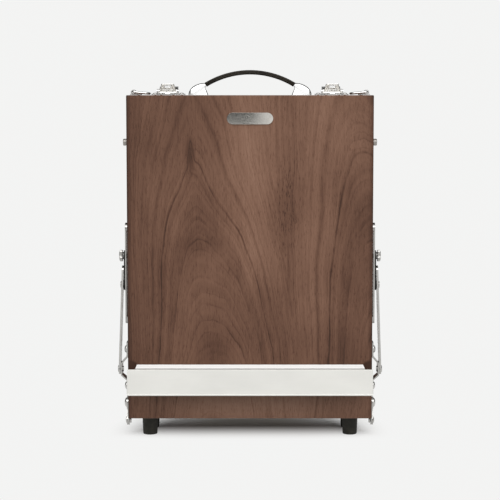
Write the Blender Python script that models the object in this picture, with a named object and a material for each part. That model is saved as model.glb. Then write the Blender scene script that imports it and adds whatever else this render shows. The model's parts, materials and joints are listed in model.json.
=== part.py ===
"""Walnut sketch-box easel, closed and standing upright on its rubber feet.

The rear shell (the tray) carries the feet, the strap handle, the draw latches, the
carrying rings and the slotted rails of the two lid stays. The front shell (the lid) turns
down towards the front on two side hinges below its bottom edge. On each side a strut runs
from a bow bracket on the lid to a slider that travels along the rail, and a thumb nut on
the slider's stud clamps it there.

Lengths are in millimetres until node() scales each mesh to metres. X is the width, the
front faces -Y, and Z = 0 is the surface under the feet.
"""

import math

import bmesh
import bpy
from mathutils import Vector

MM = 0.001
GAP = 0.3

# Case
WIDTH = 310.0
HEIGHT = 410.0
CASE_DEPTH = 95.0
LID_DEPTH = 28.0
LEDGE_DEPTH = 40.0
SIDE_THICKNESS = 8.0
FRONT_THICKNESS = 5.0
BACK_THICKNESS = 4.0
WOOD_BEVEL = 0.8

# Feet
FOOT_HEIGHT = 27.6
FOOT_TOP_RADIUS = 10.4
FOOT_BASE_RADIUS = 9.3
FOOT_X = 129.5
FOOT_ROWS = (12.0, 54.0)

# Places worked out from the case
HALF = WIDTH / 2
FRONT = (LEDGE_DEPTH - CASE_DEPTH) / 2
PARTING = FRONT + LID_DEPTH + GAP / 2
BACK = FRONT + CASE_DEPTH
BOTTOM = FOOT_HEIGHT
TOP = BOTTOM + HEIGHT

# Lid hinge, below the bottom edge and in the parting plane
HINGE_DROP = 7.0
HINGE_RADIUS = 6.5
LID_OPENS = 58.0
LID_LEAF_SCREWS = ((-17.0, 19.0), (-11.5, 11.0))
TRAY_LEAF_SCREWS = ((17.0, 19.0), (11.5, 11.0))

# Lid stay: strut pivot on the lid, strut pivot on the slider, stud in the rail
BRACKET_PIVOT = (-14.0, 62.0)
SLIDER_PIVOT = (11.5, 167.0)
STUD_HEIGHT = 204.6
RAIL_WIDTH = 18.0
RAIL_TOP = 247.0
STUD_RADIUS = 2.4
RETAINER_RADIUS = 3.4
SLOT_CLEARANCE = 0.35
PAD_HEIGHT = 9.0
STRUT_WIDTH = 14.0
STRUT_TAIL = 25.0

# Layers of the stay, as distances out from the side of the case
RAIL_LAYER = (3.2, 5.0)
RAIL_SCREW_SEAT = 3.3
RETAINER_LAYER = (1.4, 2.9)
SLIDER_LAYER = (5.3, 6.8)
STRUT_LAYER = (9.7, 12.3)
STRUT_LEAN = 2.0
NUT_LAYER = (7.1, 8.3, 12.8)
STUD_END = 11.6
RIVET_HEAD = (12.6, 13.7)
RIVET_RADIUS = 2.5
RIVET_HEAD_RADIUS = 4.3

# Handle
HANDLE_Y = PARTING + 33.5
HANDLE_PIVOT_RISE = 13.6
HANDLE_HALF_SPAN = 57.0
HANDLE_CREST = 29.2
HANDLE_END_RISE = 13.2
STRAP_WIDTH = 20.0
STRAP_END_WIDTH = 10.0
STRAP_THICKNESS = 5.4
CAP_WIDTH = 22.0
CAP_OUTER_X = 79.0
CAP_RISE = 15.6

# Draw latches: distances back from the parting plane and up from the top
LATCH_X = 104.3
LEVER_PIVOT = (3.3, 5.0)
LOOP_PIVOT = (11.8, 4.2)
LOOP_LENGTH = 16.2
LOOP_RAISED = 37.7
LOOP_HALF_WIDTH = 10.3
LOOP_TIP_HALF_WIDTH = 7.8

# Carrying rings
RING_X = 150.0
RING_Y = PARTING + 35.0
RING_RISE = 4.1
RING_WIRE = 1.5
RING_REACH = 20.5

# Ledge on the lid
SHELF_RISE = 69.6
LIP_DROP = 32.9
LIP_HALF = 153.3
SHELF_HALF = 143.6
SHEET = 2.0

# Badge and side studs on the lid
BADGE_RISE = 381.0
BADGE = (57.8, 14.4)
STUD_RISE = 351.0

# Inner strips of the tray
DIVIDER_X = 36.0
DIVIDER_RISES = (140.0, 275.0)
DIVIDER_THICKNESS = 4.0

# Wood screws: head radius, radius and depth of the hole each one leaves
SCREW_HEAD = 3.1
PILOT = 1.9
SCREW_DEPTH = 5.5


# ---------------------------------------------------------------- outlines


def circle(centre, radius, steps=16):
    """Points of a regular outline round the centre."""
    turns = [2 * math.pi * (i + 0.5) / steps for i in range(steps)]
    return [(centre[0] + radius * math.cos(t), centre[1] + radius * math.sin(t)) for t in turns]


def arc(centre, radius, start, end, steps):
    """Points along an arc, from start to end in degrees."""
    turns = [math.radians(start + (end - start) * i / steps) for i in range(steps + 1)]
    return [(centre[0] + radius * math.cos(t), centre[1] + radius * math.sin(t)) for t in turns]


def rounded(corners, steps=3):
    """Outline through (x, y, radius) corners, each rounded to its radius."""
    outline = []
    for i, (x, y, radius) in enumerate(corners):
        here = Vector((x, y))
        if radius == 0:
            outline.append((x, y))
            continue
        before = Vector(corners[i - 1][:2]) - here
        after = Vector(corners[(i + 1) % len(corners)][:2]) - here
        half = before.angle(after) / 2
        reach = radius / math.tan(half)
        start = here + before.normalized() * reach
        end = here + after.normalized() * reach
        bisector = (before.normalized() + after.normalized()).normalized()
        middle = here + bisector * radius / math.sin(half)
        sweep = math.pi - 2 * half
        for k in range(steps + 1):
            part = k / steps
            spoke = (start - middle) * math.sin((1 - part) * sweep)
            spoke += (end - middle) * math.sin(part * sweep)
            outline.append(tuple(middle + spoke / math.sin(sweep)))
    return outline


def rectangle(centre, width, height, radius=0, steps=3):
    """Rectangle with rounded corners."""
    x, y, w, h = centre[0], centre[1], width / 2, height / 2
    corners = [(x - w, y - h, radius), (x + w, y - h, radius), (x + w, y + h, radius), (x - w, y + h, radius)]
    return rounded(corners, steps)


def capsule(start, end, radius, steps=10):
    """Outline of a bar with round ends, from one centre to the other."""
    heading = math.degrees(math.atan2(end[1] - start[1], end[0] - start[0]))
    far = arc(end, radius, heading - 90, heading + 90, steps)
    near = arc(start, radius, heading + 90, heading + 270, steps)
    return far + near


# ---------------------------------------------------------------- solids


def prism(outline, low, high, along):
    """Closed solid of an outline drawn in the other two axes and extruded along one."""
    orders = {
        "X": lambda a, b, t: (t, a, b),
        "Y": lambda a, b, t: (a, t, b),
        "Z": lambda a, b, t: (a, b, t),
    }
    place = orders[along]
    shape = bmesh.new()
    near = [shape.verts.new(place(a, b, low)) for a, b in outline]
    far = [shape.verts.new(place(a, b, high)) for a, b in outline]
    shape.faces.new(near)
    shape.faces.new(far)
    for i in range(len(outline)):
        k = (i + 1) % len(outline)
        shape.faces.new((near[i], near[k], far[k], far[i]))
    bmesh.ops.recalc_face_normals(shape, faces=shape.faces)
    return shape


def block(x, y, z, bevel=0.0):
    """Box between the (low, high) pairs, with bevelled edges if asked."""
    shape = prism([(x[0], y[0]), (x[1], y[0]), (x[1], y[1]), (x[0], y[1])], z[0], z[1], "Z")
    if bevel:
        bmesh.ops.bevel(shape, geom=list(shape.edges), offset=bevel, segments=1, affect="EDGES")
    return shape


def cylinder(centre, radius, low, high, along, steps=16):
    return prism(circle(centre, radius, steps), low, high, along)


def turned(profile, centre, axis, steps=20):
    """Solid of revolution of (radius, height) points; a profile off the axis is a closed ring."""
    shape = bmesh.new()
    rings = []
    for radius, height in profile:
        if radius == 0:
            rings.append([shape.verts.new((0, 0, height))])
            continue
        rings.append([shape.verts.new((x, y, height)) for x, y in circle((0, 0), radius, steps)])
    pairs = list(zip(rings, rings[1:]))
    if profile[0][0] > 0:
        pairs.append((rings[-1], rings[0]))
    for one, two in pairs:
        for i in range(steps):
            k = (i + 1) % steps
            corners = [one[i % len(one)], one[k % len(one)], two[k % len(two)], two[i % len(two)]]
            shape.faces.new(dict.fromkeys(corners))
    turn = Vector((0, 0, 1)).rotation_difference(Vector(axis)).to_matrix()
    for vert in shape.verts:
        vert.co = turn @ vert.co + Vector(centre)
    bmesh.ops.recalc_face_normals(shape, faces=shape.faces)
    return shape


def wire_loop(points, normal, radius, sides=8):
    """Round wire along a flat closed path."""
    shape = bmesh.new()
    flat = Vector(normal).normalized()
    path = [Vector(point) for point in points]
    rings = []
    for i, point in enumerate(path):
        heading = (path[(i + 1) % len(path)] - path[i - 1]).normalized()
        across = flat.cross(heading)
        ring = []
        for k in range(sides):
            turn = 2 * math.pi * (k + 0.5) / sides
            ring.append(shape.verts.new(point + radius * (across * math.cos(turn) + flat * math.sin(turn))))
        rings.append(ring)
    for i, ring in enumerate(rings):
        following = rings[(i + 1) % len(rings)]
        for k in range(sides):
            m = (k + 1) % sides
            shape.faces.new((ring[k], ring[m], following[m], following[k]))
    bmesh.ops.recalc_face_normals(shape, faces=shape.faces)
    return shape


def grouped(shapes):
    """Separate solids held in one mesh."""
    whole = bmesh.new()
    for shape in shapes:
        mesh = bpy.data.meshes.new("group")
        shape.to_mesh(mesh)
        shape.free()
        whole.from_mesh(mesh)
        bpy.data.meshes.remove(mesh)
    return whole


def helper(shape):
    """Object that holds a solid for a Boolean."""
    mesh = bpy.data.meshes.new("helper")
    shape.to_mesh(mesh)
    shape.free()
    holder = bpy.data.objects.new("helper", mesh)
    bpy.context.collection.objects.link(holder)
    return holder


def combined(body, tools, operation):
    """The body after an exact Boolean with each tool in turn; the shapes passed in are used up."""
    target = helper(body)
    helpers = [helper(tool) for tool in tools]
    for tool in helpers:
        modifier = target.modifiers.new("Boolean", "BOOLEAN")
        modifier.operation = operation
        modifier.solver = "EXACT"
        modifier.object = tool
    graph = bpy.context.evaluated_depsgraph_get()
    result = bmesh.new()
    result.from_object(target, graph)
    for holder in [target] + helpers:
        mesh = holder.data
        bpy.data.objects.remove(holder)
        bpy.data.meshes.remove(mesh)
    bmesh.ops.remove_doubles(result, verts=result.verts, dist=0.0005)
    bmesh.ops.dissolve_degenerate(result, edges=result.edges, dist=0.0005)
    return result


def cut(body, *tools):
    return combined(body, tools, "DIFFERENCE")


def fused(body, *tools):
    return combined(body, tools, "UNION")


def mirrored(shape):
    """The same solid on the other side of X = 0."""
    for vert in shape.verts:
        vert.co.x = -vert.co.x
    bmesh.ops.reverse_faces(shape, faces=shape.faces)
    return shape


def handed(shape, side):
    return shape if side > 0 else mirrored(shape)


def turned_about_x(shape, y, z, degrees):
    """Turns a solid by the right-hand rule about the X line through (y, z)."""
    angle = math.radians(degrees)
    for vert in shape.verts:
        a, b = vert.co.y - y, vert.co.z - z
        vert.co.y = y + a * math.cos(angle) - b * math.sin(angle)
        vert.co.z = z + a * math.sin(angle) + b * math.cos(angle)
    return shape


# ---------------------------------------------------------------- nodes


def material(name, colour, roughness, metallic=0.0):
    made = bpy.data.materials.new(name)
    made.use_nodes = True
    shader = made.node_tree.nodes["Principled BSDF"]
    shader.inputs["Base Color"].default_value = (*colour, 1)
    shader.inputs["Roughness"].default_value = roughness
    shader.inputs["Metallic"].default_value = metallic
    return made


def node(name, shape, finish, pivot=(0, 0, 0), parent=None, smooth=False):
    """One named sub-part, with its origin on its pivot."""
    bmesh.ops.translate(shape, vec=-Vector(pivot), verts=shape.verts)
    bmesh.ops.scale(shape, vec=(MM, MM, MM), verts=shape.verts)
    mesh = bpy.data.meshes.new(name)
    shape.to_mesh(mesh)
    shape.free()
    mesh.materials.append(finish)
    if smooth:
        mesh.shade_smooth()
        mesh.set_sharp_from_angle(angle=math.radians(40))
    made = bpy.data.objects.new(name, mesh)
    bpy.context.collection.objects.link(made)
    made.location = Vector(pivot) * MM
    if parent:
        bpy.context.view_layer.update()
        made.parent = parent
        made.matrix_parent_inverse = parent.matrix_world.inverted()
    return made


def axis_empty(name, pivot):
    empty = bpy.data.objects.new(name, None)
    bpy.context.collection.objects.link(empty)
    empty.location = Vector(pivot) * MM
    return empty


def from_parting(place):
    """(Y, Z) of a (distance back from the parting plane, height above the case's bottom)."""
    return PARTING + place[0], BOTTOM + place[1]


def above_top(place):
    """(Y, Z) of a (distance back from the parting plane, height above the case's top)."""
    return PARTING + place[0], TOP + place[1]


# ---------------------------------------------------------------- stay geometry


def turned_point(point, degrees):
    angle = math.radians(degrees)
    y, z = point
    return y * math.cos(angle) - z * math.sin(angle), y * math.sin(angle) + z * math.cos(angle)


def strut_swing():
    """Turn of the strut per degree of the lid that brings the slider back onto the rail's line."""
    arm = (BRACKET_PIVOT[0], BRACKET_PIVOT[1] + HINGE_DROP)
    strut = (SLIDER_PIVOT[0] - BRACKET_PIVOT[0], SLIDER_PIVOT[1] - BRACKET_PIVOT[1])
    moved = turned_point(arm, LID_OPENS)[0] - arm[0]
    length = math.hypot(*strut)
    swing = math.atan2(strut[0], strut[1]) - math.asin((strut[0] - moved) / length)
    return math.degrees(swing) / LID_OPENS


def slider_shift(lid_angle):
    """(Y, Z) that the slider has moved by when the lid is open by this angle."""
    arm = (BRACKET_PIVOT[0], BRACKET_PIVOT[1] + HINGE_DROP)
    strut = (SLIDER_PIVOT[0] - BRACKET_PIVOT[0], SLIDER_PIVOT[1] - BRACKET_PIVOT[1])
    arm_now = turned_point(arm, lid_angle)
    strut_now = turned_point(strut, strut_swing() * lid_angle)
    return arm_now[0] + strut_now[0] - arm[0] - strut[0], arm_now[1] + strut_now[1] - arm[1] - strut[1]


def slot_outline(centre):
    """Outline of the slot: the stud's path, widened to the stud and its clearance."""
    width = STUD_RADIUS + SLOT_CLEARANCE
    path = [slider_shift(LID_OPENS * i / 10) for i in range(11)]
    path = [(centre[0] + y, centre[1] + z) for y, z in path]
    back = [(y + width, z) for y, z in path]
    front = [(y - width, z) for y, z in reversed(path)]
    low = arc(path[-1], width, 0, -180, 8)[1:-1]
    high = arc(path[0], width, 180, 0, 8)[1:-1]
    return back + low + front + high


# ---------------------------------------------------------------- the case


def side_hole(place, depth=SCREW_DEPTH + 1.5):
    """Pilot hole into the right side of the case."""
    return cylinder(place, PILOT, HALF - depth, HALF + 1, "X", 8)


def top_hole(x, y, depth=SCREW_DEPTH + 1.5):
    return cylinder((x, y), PILOT, TOP - depth, TOP + 1, "Z", 8)


def rail_screw_places():
    bottom = slider_shift(LID_OPENS)[1] + STUD_HEIGHT - RETAINER_RADIUS - 0.6
    middle = SLIDER_PIVOT[0]
    return (middle, RAIL_TOP - PAD_HEIGHT / 2), (middle, bottom - PAD_HEIGHT / 2)


def bracket_screw_places():
    y, z = BRACKET_PIVOT
    return (y, z + 25.5), (y, z - 21.5)


def latch_screw_places():
    return [(x * LATCH_X + 17.0 * k, PARTING + 21.0) for x in (-1, 1) for k in (-1, 1)]


def ring_screw_places():
    return [(x * (RING_X - 7.0), RING_Y + 6.0 * k) for x in (-1, 1) for k in (-1, 1)]


def catch_screw_places():
    return [(x * LATCH_X + 8.0 * k, PARTING - 8.6) for x in (-1, 1) for k in (-1, 1)]


def handle_screw_places():
    return [(68.0 * x, HANDLE_Y + 6.5 * k) for x in (-1, 1) for k in (-1, 1)]


def foot_places():
    return [(FOOT_X * x, PARTING + row) for row in FOOT_ROWS for x in (-1, 1)]


def ledge_screw_places():
    return [(x, BOTTOM + SHELF_RISE - 9.0) for x in (-118.0, -42.0, 42.0, 118.0)]


def make_tray(walnut, plywood):
    y = (PARTING + GAP / 2, BACK - BACK_THICKNESS - GAP)
    inner = HALF - SIDE_THICKNESS
    z_side = (BOTTOM + SIDE_THICKNESS + GAP, TOP - SIDE_THICKNESS - GAP)
    back = block((-HALF, HALF), (BACK - BACK_THICKNESS, BACK), (BOTTOM, TOP), WOOD_BEVEL)
    node("tray_back_panel", back, walnut)
    hole_places = [from_parting(p) for p in rail_screw_places() + TRAY_LEAF_SCREWS]
    for side, name in ((-1, "tray_left_side"), (1, "tray_right_side")):
        board = block((inner, HALF), y, z_side, WOOD_BEVEL)
        node(name, handed(cut(board, *[side_hole(p) for p in hole_places]), side), walnut)
    top = block((-HALF, HALF), y, (TOP - SIDE_THICKNESS, TOP), WOOD_BEVEL)
    holes = [top_hole(*p) for p in latch_screw_places() + ring_screw_places()]
    holes += [cylinder(p, PILOT, TOP - 20, TOP + 1, "Z", 8) for p in handle_screw_places()]
    node("tray_top_side", cut(top, *holes), walnut)
    bottom = block((-HALF, HALF), y, (BOTTOM, BOTTOM + SIDE_THICKNESS), WOOD_BEVEL)
    holes = [cylinder(p, PILOT, BOTTOM - 1, BOTTOM + 6.5, "Z", 8) for p in foot_places()]
    node("tray_bottom_side", cut(bottom, *holes), walnut)

    y = (PARTING + 14, y[1])
    beside = DIVIDER_X + DIVIDER_THICKNESS
    node("tray_long_divider", block((DIVIDER_X, beside), y, z_side, 0.5), plywood)
    for name, rise in zip(("tray_lower_divider", "tray_upper_divider"), DIVIDER_RISES):
        z = (BOTTOM + rise, BOTTOM + rise + DIVIDER_THICKNESS)
        node(name, block((beside + GAP, inner - GAP), y, z, 0.5), plywood)


def make_lid(walnut, plywood, brass, axis):
    y = (FRONT + FRONT_THICKNESS + GAP, PARTING - GAP / 2)
    inner = HALF - SIDE_THICKNESS
    panel = block((-HALF, HALF), (FRONT, FRONT + FRONT_THICKNESS), (BOTTOM, TOP), WOOD_BEVEL)
    holes = [cylinder(p, PILOT, FRONT - 1, FRONT + 4.4, "Y", 8) for p in ledge_screw_places()]
    node("lid_front_panel", cut(panel, *holes), walnut, parent=axis)
    z_side = (BOTTOM + SIDE_THICKNESS + GAP, TOP - SIDE_THICKNESS - GAP)
    places = [from_parting(p) for p in bracket_screw_places() + LID_LEAF_SCREWS]
    holes = places + [(FRONT + LID_DEPTH / 2, BOTTOM + STUD_RISE)]
    for side, name in ((-1, "lid_left_side"), (1, "lid_right_side")):
        board = block((inner, HALF), y, z_side, WOOD_BEVEL)
        node(name, handed(cut(board, *[side_hole(p) for p in holes]), side), walnut, parent=axis)
    top = block((-HALF, HALF), y, (TOP - SIDE_THICKNESS, TOP), WOOD_BEVEL)
    holes = [top_hole(*p) for p in catch_screw_places()]
    node("lid_top_side", cut(top, *holes), walnut, parent=axis)
    bottom = block((-HALF, HALF), y, (BOTTOM, BOTTOM + SIDE_THICKNESS), WOOD_BEVEL)
    node("lid_bottom_side", bottom, walnut, parent=axis)

    # The palette stands in a grooved ledger and a turn button on a stepped block holds its top.
    face = FRONT + FRONT_THICKNESS + GAP
    board_y = (FRONT + 14, FRONT + 17)
    z = BOTTOM + SIDE_THICKNESS + GAP
    strip = block((-130, 130), (face, board_y[1] + 4), (z, z + 10), 0.5)
    groove = block((-140, 140), (board_y[0] - GAP, board_y[1] + GAP), (z + 4, z + 12))
    node("palette_ledger", cut(strip, groove), walnut, parent=axis)
    high = TOP - SIDE_THICKNESS - GAP
    outline = [
        (face, high),
        (face, high - 20),
        (board_y[0] - GAP, high - 20),
        (board_y[0] - GAP, high - 12),
        (board_y[1], high - 12),
        (board_y[1], high),
    ]
    pin_z = high - 6
    step = cut(prism(outline, -15, 15, "X"), cylinder((0, pin_z), 1.8, board_y[1] - 6, board_y[1] + 1, "Y"))
    node("turn_button_block", step, walnut, parent=axis)
    palette_z = (z + 4 + GAP, high - 12 - GAP)
    sheet = rectangle((0, sum(palette_z) / 2), 272, palette_z[1] - palette_z[0], 6, 5)
    palette = prism(sheet, *board_y, "Y")
    thumb = prism(capsule((-96, BOTTOM + 96), (-88, BOTTOM + 108), 12), FRONT, PARTING, "Y")
    node("palette", cut(palette, thumb), plywood, parent=axis)
    button = prism(capsule((0, pin_z + 1), (0, pin_z - 14), 4.5), board_y[1] + GAP, board_y[1] + 2.3, "Y")
    pin = cylinder((0, pin_z), 1.5, board_y[1] - 5, board_y[1] + 2, "Y")
    pivot = (0, board_y[1], pin_z)
    node("turn_button", fused(button, pin), brass, pivot=pivot, parent=axis)


def make_feet(rubber, steel):
    """Tapered rubber feet, each held by a screw in a recess from below."""
    names = ("foot_front_left", "foot_front_right", "foot_rear_left", "foot_rear_right")
    profile = [
        (FOOT_TOP_RADIUS, FOOT_HEIGHT - GAP),
        (FOOT_TOP_RADIUS - 0.1, FOOT_HEIGHT - 2),
        (FOOT_BASE_RADIUS, 1.4),
        (FOOT_BASE_RADIUS - 1.2, 0),
        (3.8, 0),
        (3.8, 14),
        (2.0, 14),
        (2.0, FOOT_HEIGHT - GAP),
    ]
    tip = FOOT_HEIGHT + SCREW_DEPTH
    screw = [(0, 11), (3.2, 11.4), (3.2, 13.7), (1.5, 13.7), (1.5, tip - 1), (0, tip)]
    for name, (x, y) in zip(names, foot_places()):
        node(name, turned(profile, (x, y, 0), (0, 0, 1), 20), rubber, smooth=True)
        node(f"{name}_screw", turned(screw, (x, y, 0), (0, 0, 1), 10), steel)


# ---------------------------------------------------------------- the handle


def strap_shape():
    """Arched strap, narrowed at both ends, where the pins of the caps enter it."""
    rise = HANDLE_CREST - HANDLE_END_RISE
    radius = (HANDLE_HALF_SPAN**2 + rise**2) / (2 * rise)
    limit = math.asin(HANDLE_HALF_SPAN / radius)
    steps = 20
    shape = bmesh.new()
    rings = []
    for i in range(steps + 1):
        turn = limit * (2 * i / steps - 1)
        x = radius * math.sin(turn)
        z = TOP + HANDLE_CREST - radius * (1 - math.cos(turn))
        high = STRAP_THICKNESS / 2 / math.cos(turn)
        near_end = min(1, (HANDLE_HALF_SPAN - abs(x)) / 16)
        wide = (STRAP_END_WIDTH + (STRAP_WIDTH - STRAP_END_WIDTH) * near_end * (2 - near_end)) / 2
        section = rectangle((0, 0), 2 * wide, 2 * high, 1.3, 2)
        rings.append([shape.verts.new((x, HANDLE_Y + a, z + b)) for a, b in section])
    shape.faces.new(rings[0])
    shape.faces.new(rings[-1])
    for one, two in zip(rings, rings[1:]):
        for k in range(len(one)):
            m = (k + 1) % len(one)
            shape.faces.new((one[k], one[m], two[m], two[k]))
    bmesh.ops.recalc_face_normals(shape, faces=shape.faces)
    return shape


def make_handle(leather, chrome):
    pivot_z = TOP + HANDLE_PIVOT_RISE
    foot = TOP + GAP
    face = HANDLE_HALF_SPAN + GAP
    shoulder = (CAP_OUTER_X - face, CAP_RISE - GAP)
    outline = [(face - 3.5, foot), (face, foot + 8), (face, foot + shoulder[1] - 0.6)]
    for degrees in range(0, 91, 10):
        turn = math.radians(degrees)
        outline.append((face + 1 + (shoulder[0] - 1) * math.sin(turn), foot + shoulder[1] * math.cos(turn)))
    for side, name in ((-1, "handle_cap_left"), (1, "handle_cap_right")):
        cap = prism(outline, HANDLE_Y - CAP_WIDTH / 2, HANDLE_Y + CAP_WIDTH / 2, "Y")
        edges = [e for e in cap.edges if abs(e.verts[0].co.y - e.verts[1].co.y) < 0.01]
        bmesh.ops.bevel(cap, geom=edges, offset=1.2, segments=2, affect="EDGES", clamp_overlap=True)
        pin = cylinder((HANDLE_Y, pivot_z), 1.2, face - 2.1, face + 4, "X", 10)
        bores = [cylinder((abs(x), y), PILOT, TOP - 1, TOP + 8, "Z", 8) for x, y in handle_screw_places()[2:]]
        node(name, handed(cut(fused(cap, pin), *bores), side), chrome, smooth=True)
    inside, outside = HANDLE_HALF_SPAN - 2.3, HANDLE_HALF_SPAN + 4
    ends = ((inside, outside), (-outside, -inside))
    holes = [cylinder((HANDLE_Y, pivot_z), 1.5, *end, "X", 10) for end in ends]
    node("handle_strap", cut(strap_shape(), *holes), leather, pivot=(0, HANDLE_Y, pivot_z), smooth=True)


# ---------------------------------------------------------------- latches and rings


def latch_base():
    """Base plate with two ears, and a pivot stub in each ear."""
    low, high = TOP + GAP, TOP + 1.8
    pivot = above_top(LEVER_PIVOT)
    plan = [
        (-14.0, 0.6, 1),
        (14.0, 0.6, 1),
        (14.0, 14.5, 1.5),
        (21.5, 16.5, 3),
        (21.5, 25.5, 3),
        (14.0, 27.5, 1.5),
        (14.0, 35.0, 2),
        (-14.0, 35.0, 2),
        (-14.0, 27.5, 1.5),
        (-21.5, 25.5, 3),
        (-21.5, 16.5, 3),
        (-14.0, 14.5, 1.5),
    ]
    plate = prism([(LATCH_X + x, PARTING + y) for x, y in rounded(plan, 2)], low, high, "Z")
    side_view = [(PARTING + 0.6, low + 0.2)] + arc(pivot, 2.7, 180, 20, 8)
    side_view += [(PARTING + 11, high), (PARTING + 11, low + 0.2)]
    ears = [prism(side_view, *sorted((LATCH_X + 12.4 * k, LATCH_X + 13.9 * k)), "X") for k in (-1, 1)]
    stub_ends = [sorted((LATCH_X + 10.7 * k, LATCH_X + 13.4 * k)) for k in (-1, 1)]
    stubs = [cylinder(pivot, 1.3, *ends, "X", 10) for ends in stub_ends]
    holes = [cylinder(p, PILOT, TOP, TOP + 3, "Z", 8) for p in latch_screw_places()[2:]]
    return cut(fused(plate, *ears, *stubs), *holes)


def latch_lever():
    """Channel with a finger lift; its front flanges turn on the base and carry the loop's pin."""
    pivot, pin = above_top(LEVER_PIVOT), above_top(LOOP_PIVOT)
    profile = arc(pivot, 2.9, 90, 270, 8)
    profile += [above_top((33.0, 2.1)), above_top((34.0, 7.4)), above_top((14.5, 7.4))]
    flanges = [prism(profile, *sorted((LATCH_X + 10.6 * k, LATCH_X + 12.1 * k)), "X") for k in (-1, 1)]
    under = [(17.0, 5.9), (33.5, 5.9), (35.7, 6.6), (37.5, 7.6), (40.2, 10.2)]
    over = [(39.2, 11.2), (36.6, 9.0), (35.0, 8.0), (33.0, 7.4), (17.0, 7.4)]
    roof_view = under + over
    roof = prism([above_top(p) for p in roof_view], LATCH_X - 11.9, LATCH_X + 11.9, "X")
    bar = cylinder(pin, 1.2, LATCH_X - 11.5, LATCH_X + 11.5, "X", 10)
    holes = [cylinder(pivot, 1.7, *sorted((LATCH_X + 9 * k, LATCH_X + 12.8 * k)), "X", 10) for k in (-1, 1)]
    return fused(cut(grouped(flanges), *holes), roof, bar)


def latch_loop():
    """Trapezoid loop with a window for the catch, drawn flat and then raised about its pin."""
    y, z = above_top(LOOP_PIVOT)
    plan = [
        (LOOP_HALF_WIDTH, 0.5, 0),
        (-LOOP_HALF_WIDTH, 0.5, 0),
        (-LOOP_HALF_WIDTH, -2.5, 1),
        (-LOOP_TIP_HALF_WIDTH, -LOOP_LENGTH, 2),
        (LOOP_TIP_HALF_WIDTH, -LOOP_LENGTH, 2),
        (LOOP_HALF_WIDTH, -2.5, 1),
    ]
    plate = prism([(LATCH_X + a, y + b) for a, b in rounded(plan, 3)], z - 0.8, z + 0.8, "Z")
    barrel = cylinder((y, z), 2.1, LATCH_X - LOOP_HALF_WIDTH, LATCH_X + LOOP_HALF_WIDTH, "X", 12)
    window = prism(rectangle((LATCH_X, y - LOOP_LENGTH + 4.4), 8.4, 4.4, 1), z - 2, z + 2, "Z")
    slot = prism(rectangle((LATCH_X, y - 5.0), 13.0, 1.6, 0.5), z - 2, z + 2, "Z")
    bore = cylinder((y, z), 1.55, LATCH_X - 12, LATCH_X + 12, "X", 10)
    flat = cut(fused(plate, barrel), window, slot, bore)
    return turned_about_x(flat, y, z, -LOOP_RAISED)


def latch_catch():
    """Plate on the lid with the lip that the loop hooks over."""
    plan = rounded([(-12.0, -12.6, 2.5), (12.0, -12.6, 2.5), (12.0, -0.6, 1), (-12.0, -0.6, 1)])
    plate = prism([(LATCH_X + x, PARTING + y) for x, y in plan], TOP + GAP, TOP + 1.5, "Z")
    lip_view = [(-0.7, 0.8), (-0.9, 2.6), (-1.5, 3.0), (-2.6, 2.9), (-2.2, 2.3), (-1.9, 0.8)]
    lip = prism([above_top(p) for p in lip_view], LATCH_X - 3, LATCH_X + 3, "X")
    holes = [cylinder(p, PILOT, TOP, TOP + 3, "Z", 8) for p in catch_screw_places()[2:]]
    return cut(fused(plate, lip), *holes)


def make_latches(chrome, lid_axis):
    lever_y, lever_z = above_top(LEVER_PIVOT)
    loop_y, loop_z = above_top(LOOP_PIVOT)
    for side, word in ((-1, "left"), (1, "right")):
        node(f"latch_base_{word}", handed(latch_base(), side), chrome)
        pivot = (side * LATCH_X, lever_y, lever_z)
        lever = node(f"latch_lever_{word}", handed(latch_lever(), side), chrome, pivot)
        pivot = (side * LATCH_X, loop_y, loop_z)
        node(f"latch_loop_{word}", handed(latch_loop(), side), chrome, pivot, lever)
        node(f"latch_catch_{word}", handed(latch_catch(), side), chrome, parent=lid_axis)


def ring_lug():
    """Plate with a round block, bored along Y for the ring's straight bar."""
    plate = prism(rectangle((RING_X - 3.2, RING_Y), 14.4, 20, 2), TOP + GAP, TOP + 1.5, "Z")
    pivot = (RING_X, TOP + RING_RISE)
    view = [(RING_X + 3.0, TOP + 1)] + arc(pivot, 3.0, 0, 180, 8) + [(RING_X - 3.0, TOP + 1)]
    barrel = prism(view, RING_Y - 6, RING_Y + 6, "Y")
    bore = cylinder(pivot, 2.0, RING_Y - 8, RING_Y + 8, "Y", 12)
    holes = [cylinder(p, PILOT, TOP, TOP + 3, "Z", 8) for p in ring_screw_places()[2:]]
    return cut(fused(plate, barrel), bore, *holes)


def carry_ring():
    """D-shaped wire ring lying inwards from its pivot, with a slight fall to its far end."""
    corners = [(0, -12.5, 3.5), (0, 12.5, 3.5), (RING_REACH, 10.0, 7), (RING_REACH, -10.0, 7)]
    fall = math.asin(2.0 / RING_REACH)
    points = []
    for u, v in rounded(corners, 4):
        points.append((RING_X - u * math.cos(fall), RING_Y + v, TOP + RING_RISE - u * math.sin(fall)))
    return wire_loop(points, (-math.sin(fall), 0, math.cos(fall)), RING_WIRE)


def make_rings(chrome):
    for side, word in ((-1, "left"), (1, "right")):
        node(f"ring_lug_{word}", handed(ring_lug(), side), chrome)
        pivot = (side * RING_X, RING_Y, TOP + RING_RISE)
        node(f"carry_ring_{word}", handed(carry_ring(), side), chrome, pivot, smooth=True)


# ---------------------------------------------------------------- hinges and stays


def out(*distances):
    """X of distances out from the right side of the case."""
    return [HALF + d for d in distances]


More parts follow.
